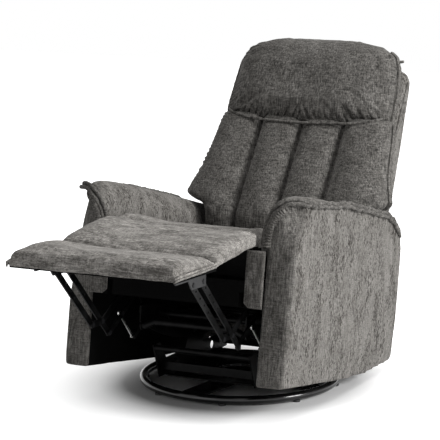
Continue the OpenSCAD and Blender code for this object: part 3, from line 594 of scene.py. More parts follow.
def wrinkle(co, centre, direction, length, width, depth):
    """A crease: a long gaussian groove through centre along direction, in metres."""
    d = np.array(direction, float)
    d /= np.linalg.norm(d)
    r = co - np.array(centre, float)
    along = r @ d
    off = np.linalg.norm(r - np.outer(along, d), axis=1)
    return -depth * np.exp(-(off / width) ** 2) * np.exp(-(along / length) ** 2)


def crumple(ob, creases, rough, scale, seed):
    """Press creases (the values of wrinkle) into ob and roughen it by rough metres."""
    def push(co, no):
        return no * (sum(wrinkle(co, *c) for c in creases) + rough * vnoise(co, scale, seed))[:, None]

    displace(ob, push)


def lift(ob, amount):
    """Raise each point of a level object by amount(co), in metres."""
    co = coords(ob)
    co[:, 2] += amount(co)
    set_coords(ob, co)


def far_hump(co, height):
    """The filling has slid towards the far side of the chair, so the pads stand higher there."""
    side = np.exp(-((co[:, 0] + 0.195) / 0.075) ** 2)
    return height * side * np.clip((-0.20 - co[:, 1]) / 0.15, 0, 1)


# Shares of the seat's length from its rear, with the share of its height there
seat_shares = [(0, 0.74), (0.04, 0.785), (0.12, 0.80), (0.26, 0.84), (0.5, 0.895), (0.74, 0.945),
               (0.9, 0.95), (0.965, 0.945), (1, 0.925)]
SEAT_LOW, SEAT_TOP, SEAT_REAR, SEAT_FRONT = 344.0, 484.0, 158.0, -447.0
seat_ys = [mix(SEAT_REAR + 4, SEAT_FRONT + 4, a) for a, b in seat_shares]
seat = pad("seat_upholstery",
           [(y, mix(SEAT_LOW, SEAT_TOP, b)) for y, (a, b) in zip(seat_ys, seat_shares)],
           [(y, SEAT_LOW + 2) for y in seat_ys],
           [mix(226, 240, min(1, 2 * a)) for a, b in seat_shares],
           ACROSS, full(ACROSS, 0.55, 9), np.ones(len(ACROSS)))


def seat_limit(co):
    co[:, 0] = np.clip(co[:, 0], -0.2485, 0.2485)
    co[:, 1] = np.clip(co[:, 1], -0.4472, 0.168)
    edge = np.clip((np.abs(co[:, 0]) - 0.150) / 0.070, 0, 1) * np.clip((-0.200 - co[:, 1]) / 0.1, 0, 1)
    top = interp([-0.447, -0.300, -0.150, 0.0, 0.160], [0.4765, 0.4765, 0.4705, 0.4625, 0.4560], co[:, 1])
    co[:, 2] = np.clip(co[:, 2], 0.3436, top + 0.0075 * edge)
    return co


def black_underside_and_painted_shade(face):
    """The seat's underside wears plain black cloth; its low front, behind the bridge, wears the same black
    cloth as painted shade under the bridge.
    """
    return (face.center.y < -0.400 and face.center.z < 0.432) or face.center.z < 0.360


puff(seat, 0.007, 4.0, 0.014, limit=seat_limit)
subdivide(seat)
lift(seat, lambda co: far_hump(co, 0.012) * np.clip((co[:, 2] - 0.44) / 0.03, 0, 1))
crumple(seat, [((-0.12, -0.30, 0.48), (1, 0.35, 0), 0.07, 0.006, 0.0022),
               ((0.06, -0.18, 0.47), (1, -0.3, 0), 0.09, 0.007, 0.0018)], 0.0012, 9.0, 1.0)
black_underside_and_painted_shade_faces = [face.index for face in seat.data.polygons if black_underside_and_painted_shade(face)]
piece(rocked(seat), "chair", fabric_flat_painted_light, ["seat_cushion"])
# Slot 1 is black cloth: real on the underside, painted shade on the low front behind the bridge.
seat.data.materials.append(cloth_black)
for k in black_underside_and_painted_shade_faces:
    seat.data.polygons[k].material_index = 1

# Shares of the bridge's length and of its fall, with its height over the hinge line in millimetres
bridge_rows = [(0.0, 0.0, 43), (0.04, 0.02, 45), (0.2, 0.14, 43), (0.5, 0.5, 45), (0.8, 0.82, 38),
               (0.95, 0.97, 28), (1, 1, 16)]
BRIDGE_REAR, BRIDGE_ROOT, BRIDGE_FRONT, BRIDGE_END = -447.4, 430.0, -702.0, 377.0
bridge_line = [(mix(BRIDGE_REAR - 4, BRIDGE_FRONT + 4, a), mix(BRIDGE_ROOT, BRIDGE_END, b))
               for a, b, h in bridge_rows]
bridge = pad("bridge_upholstery",
             [(y, z + h) for (y, z), (a, b, h) in zip(bridge_line, bridge_rows)],
             [(y, z + 3) for y, z in bridge_line],
             [250] * len(bridge_rows), ACROSS, full(ACROSS, 0.62, 8), full(ACROSS, 0.9, 12))


def bridge_limit(co):
    co[:, 0] = np.clip(co[:, 0], -0.2545, 0.2545)
    co[:, 1] = np.clip(co[:, 1], -0.7035, -0.4472)
    top = interp([-0.703, -0.651, -0.565, -0.498, -0.447], [0.410, 0.430, 0.456, 0.470, 0.4785], co[:, 1])
    co[:, 2] = np.minimum(co[:, 2], top)
    return co


def bridge_hump(co):
    middle = interp([-0.703, -0.447], [0.385, 0.436], co[:, 1])
    return far_hump(co, 0.012) * np.clip((co[:, 2] - middle) / 0.02, 0, 1)


def strip_room(co):
    """Raise the low rear corners, so that the folded bridge hangs clear of the front strips."""
    edge = np.clip((np.abs(co[:, 0]) - 0.202) / 0.012, 0, 1)
    along = np.clip(-0.452 - co[:, 1], 0, 0.30)
    low = 0.430 - 0.212 * along + 0.0085 - 0.125 * along
    return edge * np.maximum(0, low - co[:, 2]) * (along < 0.070)


puff(bridge, 0.006, 3.5, 0.005, limit=bridge_limit)
subdivide(bridge)
lift(bridge, bridge_hump)
crumple(bridge, [((-0.06, -0.53, 0.465), (1, 0.5, 0.1), 0.06, 0.006, 0.0035),
                 ((0.0, -0.555, 0.46), (1, 0.42, 0.1), 0.08, 0.007, 0.003),
                 ((0.05, -0.60, 0.445), (1, 0.35, 0.1), 0.07, 0.006, 0.0025)], 0.0018, 11.0, 2.0)
lift(bridge, strip_room)
rocked(bridge)
piece(bridge, "bridge", fabric_flat_painted_light, ["bridge_pad"])
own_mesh(bridge)

# Footrest, in its own frame: y runs back to its hinge and z up from its board
TILT = math.radians(7)
FOOT = Matrix.Translation((0, -0.708, 0.374)) @ Matrix.Rotation(TILT, 4, "X")
foot_rows = [(0, 8), (0.04, 12), (0.12, 15), (0.3, 20), (0.55, 27), (0.78, 33), (0.91, 32), (0.98, 24)]
foot_outer = [(-a * 244 - 3, 17 + h) for a, h in foot_rows] + [(-247.0, 26.0), (-247.0, 12.0), (-245.0, 3.0)]
foot_inner = [(-a * 234 - 4, 17.0) for a, h in foot_rows] + [(-238.5, 15.0), (-238.5, 8.0), (-238.5, 2.0)]
foot = pad("footrest_upholstery", foot_outer, foot_inner, [249] * len(foot_outer),
           ACROSS, full(ACROSS, 0.25, 4.5), np.ones(len(ACROSS)))


def foot_limit(co):
    co[:, 0] = np.clip(co[:, 0], -0.2590, 0.2590)
    low = np.where(co[:, 1] > -0.2372, 0.0164, 0.0005)
    co[:, 2] = np.maximum(co[:, 2], low)
    co[:, 1] = np.clip(co[:, 1], -0.2560, -0.0005)
    return co


puff(foot, 0.0055, 3.5, 0.005, pin=lambda co: np.where(co[:, 2] < 0.020, 1.0, 0.0), limit=foot_limit)
subdivide(foot)


def foot_mound(co):
    """The pad's crown, with a mound where the filling has slid to the far side."""
    mound = np.exp(-((co[:, 0] + 0.185) / 0.060) ** 2) * np.exp(-((co[:, 1] + 0.10) / 0.09) ** 2)
    return (0.004 + 0.013 * mound) * np.clip((co[:, 2] - 0.024) / 0.012, 0, 1)


lift(foot, foot_mound)
crumple(foot, [((0.02, -0.246, 0.035), (1, 0, 0.02), 0.16, 0.0025, 0.0014)], 0.0016, 12.0, 3.0)
foot.data.transform(LEVEL @ FOOT)
piece(foot, "footrest", fabric_flat_painted_light, ["footrest_pad"])


def to_world(points, m=LEVEL):
    return np.array([tuple(m @ Vector(p)) for p in points])


foot_edge = [(0.2535, -0.006, 0.020), (0.2565, -0.08, 0.019), (0.2575, -0.17, 0.018),
             (0.2560, -0.2350, 0.016), (0.2500, -0.2490, 0.010)]
for s, nm in SIDES:
    line = smooth_curve([(s * x, y, z) for x, y, z in foot_edge], 90)
    w = tube("footrest_side_welt_" + nm, to_world(line, LEVEL @ FOOT), 0.0036, 8, 0.25, 0.012, 5)
    piece(w, "footrest", fabric_flat_painted_light)
    hem = line + np.array([s * 0.0005, 0, -0.0072])
    w = tube("footrest_side_hem_" + nm, to_world(hem, LEVEL @ FOOT), 0.0030, 8, 0.25, 0.014, 6)
    piece(w, "footrest", fabric_flat_painted_light)

# Back cushion
# Two (y, z) points on the line of the back frame's uprights and their radius, in millimetres
UP_LOW, UP_HIGH, UP_R = np.array((296.0, 478.0)), np.array((486.0, 905.0)), 11.0
LEAN = math.atan2(UP_HIGH[0] - UP_LOW[0], UP_HIGH[1] - UP_LOW[1])


def back_line(z):
    return UP_LOW[0] + (z - UP_LOW[1]) * math.tan(LEAN) - (UP_R + 0.4) / math.cos(LEAN)


BACK_SEAM = 0.65
# The cushion's front line (y, z), from its foot up, and its half width at each of these points
back_outer = [(182, 449), (177, 500), (186, 523), (191, 534), (196, 544), (200, 553), (206, 563), (220, 587),
              (250, 640), (290, 712), (326, 778), (342, 806), (354, 818)]
back_inner = [(back_line(z) - 1, z) for y, z in back_outer]
back_half_widths = [246, 253, 269, 302, 327, 338, 340, 333, 315, 303, 294, 288, 284]
SEAM_X = 140
SEAMS = (-0.140, 0.0, 0.140)
# Shares across one channel, closer together at its seams
LOBE = 0.42 * np.linspace(0, 1, 25) + 0.58 * (0.5 - 0.5 * np.cos(np.linspace(0, math.pi, 25)))


def back_mesh():
    """Four upright channels side by side, sharing the rings at their seams."""
    k = 90
    o, i, w, m = rows_of(back_outer, back_inner, back_half_widths, BACK_SEAM, k)
    rings = []
    for lobe in range(4):
        for g in LOBE[:-1] if lobe < 3 else LOBE:
            f = 0.38 + 0.62 * (1 - abs(2 * g - 1) ** 4.3) ** 0.5
            if (lobe == 0 and g < 0.5) or (lobe == 3 and g > 0.5):
                f = (1 - abs(2 * g - 1) ** 3.2) ** 0.5
            front, rear = [], []
            for j in range(k):
                a, b = (-w[j], -SEAM_X, 0, SEAM_X, w[j])[lobe:lobe + 2]
                x = a + (b - a) * g
                fi = 0.9 + 0.1 * max(0, 1 - abs(x / w[j]) ** 30)
                front.append((x, *(m[j] + (o[j] - m[j]) * f)))
                rear.append((x, *(m[j] + (i[j] - m[j]) * fi)))
            rings.append(np.array(front + rear[::-1]) * MM)
    return loft("back_upholstery", rings)


def back_depth(co):
    """How far a level point lies in front of the frame's plane, in metres."""
    n = np.array((-math.cos(LEAN), math.sin(LEAN)))
    return (co[:, 1] - back_line(500) / 1000) * n[0] + (co[:, 2] - 0.5) * n[1]


back_seams = [seam_line(back_outer, back_inner, back_half_widths, BACK_SEAM, s, 260) for s in (-1, 1)]


def back_pin(co):
    """Points that the cloth simulation holds: the rear face, the channel seams and the side seams."""
    pin = np.where(back_depth(co) < 0.010, 1.0, 0.0)
    for s in SEAMS:
        pin = np.maximum(pin, np.where(np.abs(co[:, 0] - s) < 0.0012, 1.0, 0.0))
    for line in back_seams:
        pin = np.maximum(pin, near(co, line, 0.004) * 1.0)
    return pin


def back_limit(co):
    d = back_depth(co)
    n = np.array((0, -math.cos(LEAN), math.sin(LEAN)))
    push = np.maximum(0, 0.0006 - d)
    return co + n * push[:, None]


back = back_mesh()
puff(back, None, 5.0, 0.013, pin=back_pin, bend=0.25, limit=back_limit)
subdivide(back)


def ripples(along, off, width, period, seed):
    """Short gathers across a seam: along runs on the seam and off is the distance from it."""
    ph = along / period * TURN + 1.9 * np.sin(along * 53 + seed) + 1.1 * np.sin(along * 131 + 2 * seed)
    strength = 0.55 + 0.45 * np.sin(along * 37 + 3 * seed)
    at_seam = 1 - 0.85 * np.exp(-(off / 0.005) ** 2)
    return np.clip(np.sin(ph), -0.45, 1) * strength * np.exp(-(off / width) ** 1.5) * at_seam


def tucks(along, off, width, period, seed):
    """Short narrow creases running away from a seam, deep at the seam and gone past width."""
    ph = along / period * TURN + 1.6 * np.sin(along * 41 + seed) + 0.9 * np.sin(along * 97 + 2 * seed)
    reach = width * (1 + 0.45 * np.sin(along * 29 + 2 * seed))
    return np.clip(np.sin(ph), 0, 1) ** 4 * np.exp(-(off / reach) ** 2)


def back_detail(co, no):
    d = back_depth(co)
    front = np.clip((d - 0.02) / 0.02, 0, 1)
    z = co[:, 2]
    out = 0.0016 * vnoise(co, 11.0, 4.0)
    for k, s in enumerate(SEAMS):
        off = np.abs(co[:, 0] - s)
        out -= front * 0.005 * np.exp(-(off / 0.0038) ** 2)
        out += front * 0.0013 * ripples(z, np.abs(off - 0.012), 0.016, 0.023, k)
    for k, line in enumerate(back_seams):
        w = np.interp(z, line[:, 2], np.abs(line[:, 0]))
        here = np.sign(co[:, 0]) == (-1, 1)[k]
        off = np.maximum(0, w - np.abs(co[:, 0])) * here + 1.0 * ~here
        out += 0.0034 * ripples(z + 0.4 * off, off, 0.026, 0.015, 7 + k) * (z > 0.57)
    top = np.exp(-np.maximum(0, 0.800 - z) / 0.018)
    out += front * 0.0020 * top * ripples(co[:, 0], 0 * z, 1.0, 0.024, 3)
    return no * out[:, None]


displace(back, back_detail)
piece(rocked(back), "back", fabric_back_painted_shade, ["back_cushion"])

# Headrest pillow
HEAD_LOW = 804.4
head_outer = [(362, HEAD_LOW), (334, 822), (337, 850), (355, 900), (366, 940), (384, 990), (412, 1036),
              (444, 1058), (472, 1066)]
head_inner = [(back_line(z), z) for y, z in head_outer[:4]]
head_inner += [(482, 935), (495, 975), (503, 1010), (505, 1040), (503, 1058)]
head_half_widths = [274, 281, 281, 279, 275, 270, 252, 205, 130]
HEAD_ACROSS = np.linspace(-1, 1, 85)
HEAD_ACROSS = 0.6 * HEAD_ACROSS + 0.4 * np.sin(HEAD_ACROSS * math.pi / 2)
head = pad("headrest_upholstery", head_outer, head_inner, head_half_widths, HEAD_ACROSS,
           full(HEAD_ACROSS, 0.0, 4.2), full(HEAD_ACROSS, 0.85, 30), BACK_SEAM, split=8)
head_seams = [seam_line(head_outer, head_inner, head_half_widths, BACK_SEAM, s, 300) for s in (-1, 1)]


def head_pin(co):
    """Points that are held: the rear face, the lower edge and the side seams."""
    pin = np.where(co[:, 1] > head_rear(co[:, 2]) - 0.010, 1.0, 0.0)
    pin = np.maximum(pin, np.where(co[:, 2] < 0.809, 1.0, 0.0))
    for line in head_seams:
        pin = np.maximum(pin, near(co, line, 0.0045) * 1.0)
    return pin


def head_rear(z):
    return np.interp(z, [0.80, 0.905, 0.918, 0.984, 1.03, 1.07],
                     [back_line(800) / 1000, 0.4735, 0.4785, 0.4985, 0.505, 0.507])


def head_limit(co):
    co[:, 1] = np.minimum(co[:, 1], head_rear(co[:, 2]))
    co[:, 2] = np.clip(co[:, 2], 0.797, 1.070)
    co[:, 0] = np.clip(co[:, 0], -0.2875, 0.2875)
    return co


puff(head, None, 4.5, 0.012, pin=head_pin, bend=0.3, limit=head_limit)
subdivide(head)


def head_detail(co, no):
    x, y, z = co[:, 0], co[:, 1], co[:, 2]
    front = np.clip((0.40 - y + (z - 0.85) * 0.3) / 0.04, 0, 1)
    low = np.maximum(0, z - 0.812)
    deep = 0.0085 + 0.005 * np.clip(0.5 - x / 0.1, 0, 1)
    out = -front * deep * tucks(x + 0.6 * low * np.sign(x), low, 0.028, 0.025, 1)
    for k, line in enumerate(head_seams):
        w = np.interp(z, line[:, 2], np.abs(line[:, 0]))
        off = np.maximum(0, w - np.abs(x)) + 1.0 * (np.sign(x) != (-1, 1)[k])
        out += 0.0042 * ripples(z - 0.5 * off, off, 0.028, 0.015, 11 + k) * np.clip((z - 0.82) / 0.03, 0, 1)
    out += 0.0026 * vnoise(co, 8.0, 5.0)
    move = no * out[:, None]
    droop = 0.014 * np.clip(1 - (x / 0.262) ** 2, 0, 1) * np.clip((0.870 - z) / 0.06, 0, 1) * front
    move[:, 2] -= droop
    return move


displace(head, head_detail)
piece(rocked(head), "back", fabric_back_painted_shade, ["headrest_pillow"])

# Seam roll under the pillow, drooping in the middle, and the flange welts down its sides
half_drop = [(0.2700, 0.372, 0.826), (0.24, 0.350, 0.814), (0.17, 0.334, 0.801), (0.08, 0.330, 0.7955)]
drop = [(-x, y, z) for x, y, z in half_drop] + [(0.0, 0.329, 0.7945)] + half_drop[::-1]
w = tube("headrest_lower_welt", to_world(smooth_curve(drop, 260)), 0.0046, 8, 0.16, 0.020, 11)
piece(w, "back", fabric_back_painted_shade)
for line, s, nm in ((head_seams[0], -1, "right"), (head_seams[1], 1, "left")):
    run = line[(line[:, 2] > 0.812) & (line[:, 2] < 1.034)]
    run = smooth_curve(run[::12], 190)
    for k, (dx, dy) in enumerate(((0.0018, 0.0), (0.0008, 0.0105))):
        path = run + np.array([s * dx, dy, 0])
        w = tube("headrest_side_welt_%s_%d" % (nm, k), to_world(path), 0.0040, 8, 0.14, 0.018, 20 + k)
        piece(w, "back", fabric_upright_painted_shade)
left_seam = head_seams[1]
start = left_seam[np.argmin(np.abs(left_seam[:, 2] - 1.006))]
tag = smooth_curve([start, start + (0.010, 0.004, -0.001), start + (0.020, 0.009, 0.001)], 30)
piece(tube("headrest_tag_left", to_world(tag), 0.0045, 8, 0.1, 0.02, 60), "back", fabric_upright_painted_shade)

# Back shell
rear_rows = [(0.366, 0.332), (0.412, 0.432), (0.462, 0.560), (0.496, 0.690), (0.524, 0.822), (0.549, 0.952)]


def shell_half(z):
    """The shell's half width at height z."""
    return np.interp(z, [0.33, 0.522, 0.534, 0.90, 0.945, 0.966, 0.980],
                     [0.240, 0.240, 0.2790, 0.2820, 0.2815, 0.2740, 0.2600])


def shell_front_y(z):
    line = (back_line(z * 1000) + 2.0) / 1000
    low = 0.346 + (z - 0.34) * 0.30
    return np.where(z < 0.552, np.maximum(low, line + 0.02), np.minimum(line, 0.499))


def shell_mesh():
    """Rounded rectangles from the shell's foot up to its top, each between its front and rear line."""
    zs = np.concatenate([np.linspace(0.334, 0.548, 30), np.linspace(0.553, 0.976, 44)])
    rear = smooth_curve(rear_rows, 80)
    rings = []
    for z in zs:
        yr = float(np.interp(z, rear[:, 1], rear[:, 0]))
        if z > 0.945:
            yr = float(np.interp(z, [0.945, 0.964, 0.976], [0.548, 0.544, 0.532]))
        yf = float(shell_front_y(z))
        yf = min(yf, yr - 0.012)
        half = float(shell_half(z))
        r = min(0.016, (yr - yf) / 2 * 0.9)
        pts = []
        corners = [(half - r, yf + r, -90, 0), (half - r, yr - r, 0, 90),
                   (-half + r, yr - r, 90, 180), (-half + r, yf + r, 180, 270)]
        for cx, cy, a0, a1 in corners:
            for a in np.linspace(math.radians(a0), math.radians(a1), 6):
                pts.append((cx + r * math.cos(a), cy + r * math.sin(a), z))
        ring = []
        for q in range(len(pts)):
            a, b = np.array(pts[q]), np.array(pts[(q + 1) % len(pts)])
            steps = max(1, int(np.linalg.norm(b - a) / 0.03))
            ring += [a + (b - a) * t / steps for t in range(steps)]
        rings.append(resampled(np.array(ring + [ring[0]]), 120, closed=True))
    return loft("back_shell_upholstery", rings)


shell = shell_mesh()
remesh(shell, 0.006)
subdivide(shell)


def shell_detail(co, no):
    rear = np.clip(no[:, 1], 0, 1)
    x, z = co[:, 0], co[:, 2]
    bulge = 0.005 * rear * np.clip(1 - (x / 0.25) ** 2, 0, 1) * np.clip(1 - ((z - 0.72) / 0.26) ** 2, 0, 1)
    side_seams = np.exp(-((np.abs(x) - 0.232) / 0.003) ** 2)
    top_seam = np.exp(-((z - 0.945) / 0.003) ** 2) * (np.abs(x) < 0.232)
    seam = -0.0022 * rear * (side_seams + top_seam)
    return no * (bulge + seam + 0.0010 * vnoise(co, 9.0, 6.0))[:, None]


displace(shell, shell_detail)
piece(rocked(shell), "back", fabric_panel, ["back_shell"])

for s, nm in SIDES:
    zs = (0.575, 0.65, 0.74, 0.82, 0.90, 0.945)
    pts = [(s * (shell_half(z) + 0.0005), shell_front_y(z) + 0.018, z) for z in zs]
    w = tube("back_shell_welt_" + nm, to_world(smooth_curve(pts, 130)), 0.0034, 8, 0.2, 0.014, 31)
    piece(w, "back", fabric_upright_painted_shade)
    line = back_seams[0 if s < 0 else 1]
    run = smooth_curve(line[(line[:, 2] > 0.566) & (line[:, 2] < 0.808)][::9], 170)
    for k, (dx, dy) in enumerate(((0.0015, 0.0), (0.0, 0.0115))):
        path = to_world(run + np.array([s * dx, dy, 0]))
        w = tube("back_cushion_welt_%s_%d" % (nm, k), path, 0.0036, 8, 0.14, 0.018, 33 + k)
        piece(w, "back", fabric_upright_painted_shade)

# Arms. A left arm's shape is level and runs from its front (t = 0) to its rear (t = 1); at each
# station a line of (x, z) points goes from the inner bottom over the crown to the outer bottom.
OUTER_X = 0.352
ARM_FRONT_Y, ARM_LENGTH = -0.43, 0.79


def arm_bottom(y):
    return np.interp(y, [-0.447, 0.0, 0.183, 0.345, 0.366], [0.046, 0.046, 0.056, 0.080, 0.088])


def arm_front(x, z):
    """Where the front face lies: it leans back, and its outer top corner and inner edge recede."""
    base = interp([0.045, 0.417, 0.50, 0.545, 0.58], [-0.4465, -0.4300, -0.4260, -0.4220, -0.4150], z)
    corner = interp([0.417, 0.45, 0.50, 0.54, 0.575], [0.0, 0.008, 0.035, 0.064, 0.070], z)
    t = np.clip((np.asarray(x) - 0.296) / 0.056, 0, 1)
    inner_edge = np.clip((0.287 - np.asarray(x)) / 0.034, 0, 1) ** 1.5
    inner = 0.016 * inner_edge * np.clip((z - 0.425) / 0.03, 0, 1)
    return base + corner * (t * t * (3 - 2 * t)) ** 1.6 + inner


def arm_rear(z):
    """Where the rear face lies at height z."""
    return interp([0.07, 0.10, 0.214, 0.427, 0.479, 0.520], [0.346, 0.354, 0.3635, 0.3700, 0.3560, 0.3100], z)


def arm_crown(t):
    """The height of the top pad's crown at length share t."""
    return interp([0, 0.02, 0.078, 0.195, 0.334, 0.478, 0.694, 0.942, 1.0],
                  [0.572, 0.577, 0.581, 0.5775, 0.569, 0.557, 0.538, 0.517, 0.506], t)


def arm_outer_edge(t):
    """The height of the outer top edge, where the welt runs."""
    return interp([0, 0.07, 0.14, 0.268, 0.408, 0.604, 0.80, 0.896, 0.968, 1.0],
                  [0.566, 0.5656, 0.5617, 0.558, 0.5605, 0.547, 0.532, 0.5136, 0.4796, 0.468], t)


def arm_station(t):
    """The (x, z) points around the arm at length share t; z is None where they lie at its bottom."""
    c, e = arm_crown(0.012 + 0.924 * t), arm_outer_edge(0.012 + 0.924 * t)
    q = float(interp([0.55, 0.8], [0, 0.010], t))
    inner = [(0.2690, None), (0.2685, 0.20), (0.2685, 0.36), (0.2680, 0.43), (0.2600 + q / 2, 0.452),
             (0.2520 + q, c - 0.100), (0.2530 + q, c - 0.075), (0.2620 + q, c - 0.042)]
    crown = [(0.2790, c - 0.016), (0.3020, c - 0.001), (0.3260, c), (0.3440, (c + e) / 2), (0.3540, e)]
    outer = [(0.3530, e - 0.018), (0.3545, e - 0.08), (0.3560, e - 0.18), (0.3555, 0.28), (0.3545, 0.18),
             (0.3520, 0.10), (0.3500, None)]
    return inner + crown + outer


def arm_mesh(name):
    rings = []
    ts = np.concatenate([np.linspace(0, 0.08, 7), np.linspace(0.10, 0.9, 50), np.linspace(0.92, 1, 7)])
    k = 140
    for t in ts:
        zb = float(arm_bottom(mix(ARM_FRONT_Y, 0.36, t)))
        pts = [(x, zb if z is None else max(z, zb + 0.01)) for x, z in arm_station(t)]
        line = smooth_curve(pts, k)
        line[:, 1] = np.maximum(line[:, 1], zb)
        bottom = np.column_stack([np.linspace(0.350, 0.269, 14)[1:-1], np.full(12, zb)])
        line = np.vstack([line, bottom])
        ys = mix(arm_front(line[:, 0], line[:, 1]), arm_rear(line[:, 1]), t)
        rings.append(np.column_stack([line[:, 0], ys, line[:, 1]]))
    rings = np.array(rings)

    def cap_rings(ring, sign):
        """Rings that close the end of the arm, each nearer its middle line and bulging by 8 mm."""
        out = []
        mid = ring.copy()
        mid[:, 0] = 0.309
        mid[:, 2] = np.clip(ring[:, 2], ring[:, 2].min() + 0.040, ring[:, 2].max() - 0.045)
        for q in (0.97, 0.90, 0.78, 0.55, 0.3, 0.04):
            r = mid + (ring - mid) * q
            f = arm_front(r[:, 0], r[:, 2]) if sign < 0 else arm_rear(r[:, 2])
            r[:, 1] = f + sign * 0.008 * math.sqrt(1 - q ** 6)
            out.append(r)
        return out

    return loft(name, cap_rings(rings[0], -1)[::-1] + list(rings) + cap_rings(rings[-1], 1))


arm = arm_mesh("left_arm_upholstery")


def arm_pin(co):
    """How firmly each point is held: only the padding on top and inside moves freely."""
    x, y, z = co[:, 0], co[:, 1], co[:, 2]
    t = (y - ARM_FRONT_Y) / ARM_LENGTH
    e = arm_outer_edge(t)
    pin = np.where((z < e - 0.004) & (x > 0.330), 0.85, 0.0)
    pin = np.where(z < 0.44, 0.9, pin)
    pin = np.maximum(pin, np.where(y < arm_front(x, z) + 0.004, 0.93, 0))
    pin = np.maximum(pin, np.where((np.abs(z - e) < 0.006) & (x > 0.345), 1.0, 0))
    pin = np.maximum(pin, np.where(z < 0.09, 1.0, 0))
    return pin


def arm_limit(co):
    co[:, 0] = np.clip(co[:, 0], 0.2500, 0.3600)
    co[:, 2] = np.minimum(co[:, 2], 0.584)
    inner = (co[:, 2] < 0.43) & (co[:, 0] < 0.30)
    co[inner, 0] = np.maximum(co[inner, 0], 0.2682)
    return co


puff(arm, 0.007, 5.0, 0.008, pin=arm_pin, bend=0.3, limit=arm_limit)
subdivide(arm)


def arm_detail(co, no):
    x, y, z = co[:, 0], co[:, 1], co[:, 2]
    f = arm_front(x, z)
    front = np.clip((f + 0.012 - y) / 0.010, 0, 1) * np.clip(-no[:, 1] * 2, 0, 1)
    r = np.hypot(0.350 - x, z - 0.462)
    ang = np.arctan2(z - 0.462, 0.350 - x)
    out = front * (z > 0.43) * 0.0030 * ripples(ang * 0.1, np.maximum(0, 0.092 - r), 0.032, 0.0105, 4)
    outer = (x > 0.345).astype(float)
    t = (y - ARM_FRONT_Y) / ARM_LENGTH
    e = arm_outer_edge(t)
    out += outer * 0.0011 * ripples(y, np.maximum(0, e - 0.008 - z), 0.020, 0.019, 2)
    out -= 0.0016 * np.exp(-((y - (arm_front(OUTER_X, z) + 0.011)) / 0.0024) ** 2) * outer * (z < 0.545)
    out -= outer * 0.0008 * np.exp(-((z - (e - 0.046)) / 0.002) ** 2) * (y > -0.30)
    belly = np.clip(1 - ((z - 0.30) / 0.24) ** 2, 0, 1) * np.clip(1 - ((y + 0.03) / 0.36) ** 2, 0, 1)
    out += outer * 0.0030 * belly
    out += 0.0013 * vnoise(co, 8.0, 7.0)
    return no * out[:, None]


displace(arm, arm_detail)
arm.data.materials.clear()
arm_r = mirrored(arm, "right_arm_upholstery")


def far_arm_lean(co):
    """The far arm's outer front top leans in and back, as the photograph shows it."""
    lean_in = np.clip((-co[:, 0] - 0.300) / 0.05, 0, 1)
    lean_in = lean_in * lean_in * (3 - 2 * lean_in)
    near_front = np.clip((-0.350 - co[:, 1]) / 0.08, 0, 1)
    high = interp([0.25, 0.43, 0.50, 0.56], [0, 1, 0.8, 0], co[:, 2])
    return np.column_stack([0.010 * lean_in, 0.032 * lean_in * near_front * high, 0 * lean_in])


displace(arm_r, lambda co, no: far_arm_lean(co))

welt_path = [(0.2510, -0.4260, 0.436), (0.2500, -0.4215, 0.466), (0.2550, -0.4225, 0.492),
             (0.2660, -0.4270, 0.520), (0.2840, -0.4310, 0.546), (0.3060, -0.4260, 0.562),
             (0.3300, -0.4120, 0.568), (0.3490, -0.3920, 0.5665), (0.3585, -0.3650, 0.5645),
             (0.3600, -0.3190, 0.5625), (0.3605, -0.2180, 0.5605), (0.3605, -0.1080, 0.5630),
             (0.3600, 0.0470, 0.5495), (0.3590, 0.2000, 0.5345), (0.3575, 0.2780, 0.5160),
             (0.3555, 0.3350, 0.4830), (0.3530, 0.3500, 0.4660)]
pleat_arc = [(0.2535, 0.436), (0.2540, 0.466), (0.2590, 0.492), (0.2700, 0.518), (0.2870, 0.541),
             (0.3080, 0.556), (0.3300, 0.563), (0.3460, 0.562)]


def pleated_band(side, nm):
    """The gathered strip inside the welt around the arm's front."""
    arc = smooth_curve(pleat_arc, 300)
    d = np.gradient(arc, axis=0)
    d /= np.linalg.norm(d, axis=1, keepdims=True)
    inward = np.column_stack([d[:, 1], -d[:, 0]])
    s = arc_lengths(arc)
    fold = np.sin(s / 0.0088 * TURN + 1.5 * np.sin(s * 71) + 0.8 * np.sin(s * 190 + 1))
    deep = 0.65 + 0.35 * np.sin(s * 47 + 1)
    rings = []
    for i in range(len(arc)):
        out, under = [], []
        for v in np.linspace(0, 1, 13):
            x, z = arc[i] + inward[i] * (0.002 + 0.026 * v)
            face = float(arm_front(x, z))
            crown = math.sin(math.pi * min(1, v * 1.02)) ** 0.6 if 0 < v < 0.98 else 0
            pleat = 0.0036 * fold[i] * deep[i] * (1 - 0.5 * v) * crown
            out.append((side * x, face - 0.0060 - 0.0090 * crown - pleat, z))
            under.append((side * x, face + 0.004, z))
        rings.append(out + under[::-1])
    piece(rocked(loft("%s_arm_pleats" % nm, rings)), "chair", fabric_upright_painted_shade)


def arm_welts(side, nm):
    """The flange's two rolls along the arm's edge, the lower one set in around the front."""
    base = smooth_curve(welt_path, 520)
    s = np.linspace(0, 1, len(base))
    calm = 1.0 if side > 0 else 0.4
    base[:, 2] += calm * (0.0022 * np.sin(s * 61) * np.sin(s * 23 + 1) + 0.0012 * np.sin(s * 133))
    for k, (dx, dz, dy) in enumerate(((0.0, 0.0035, 0.0), (0.0016, -0.0062, -0.0030))):
        line = base + np.array([dx, 0, dz])
        around_front = s < 0.22
        line[around_front, 1] += dy * 1.2
        line[around_front, 0] += k * 0.0060
        line[around_front, 2] -= k * 0.0010
        line[:, 0] *= side
        w = tube("%s_arm_welt_%d" % (nm, k), to_world(line), 0.0056, 9, 0.16, 0.020, 40 + k)
        piece(w, "chair", fabric_welt_painted_shade)


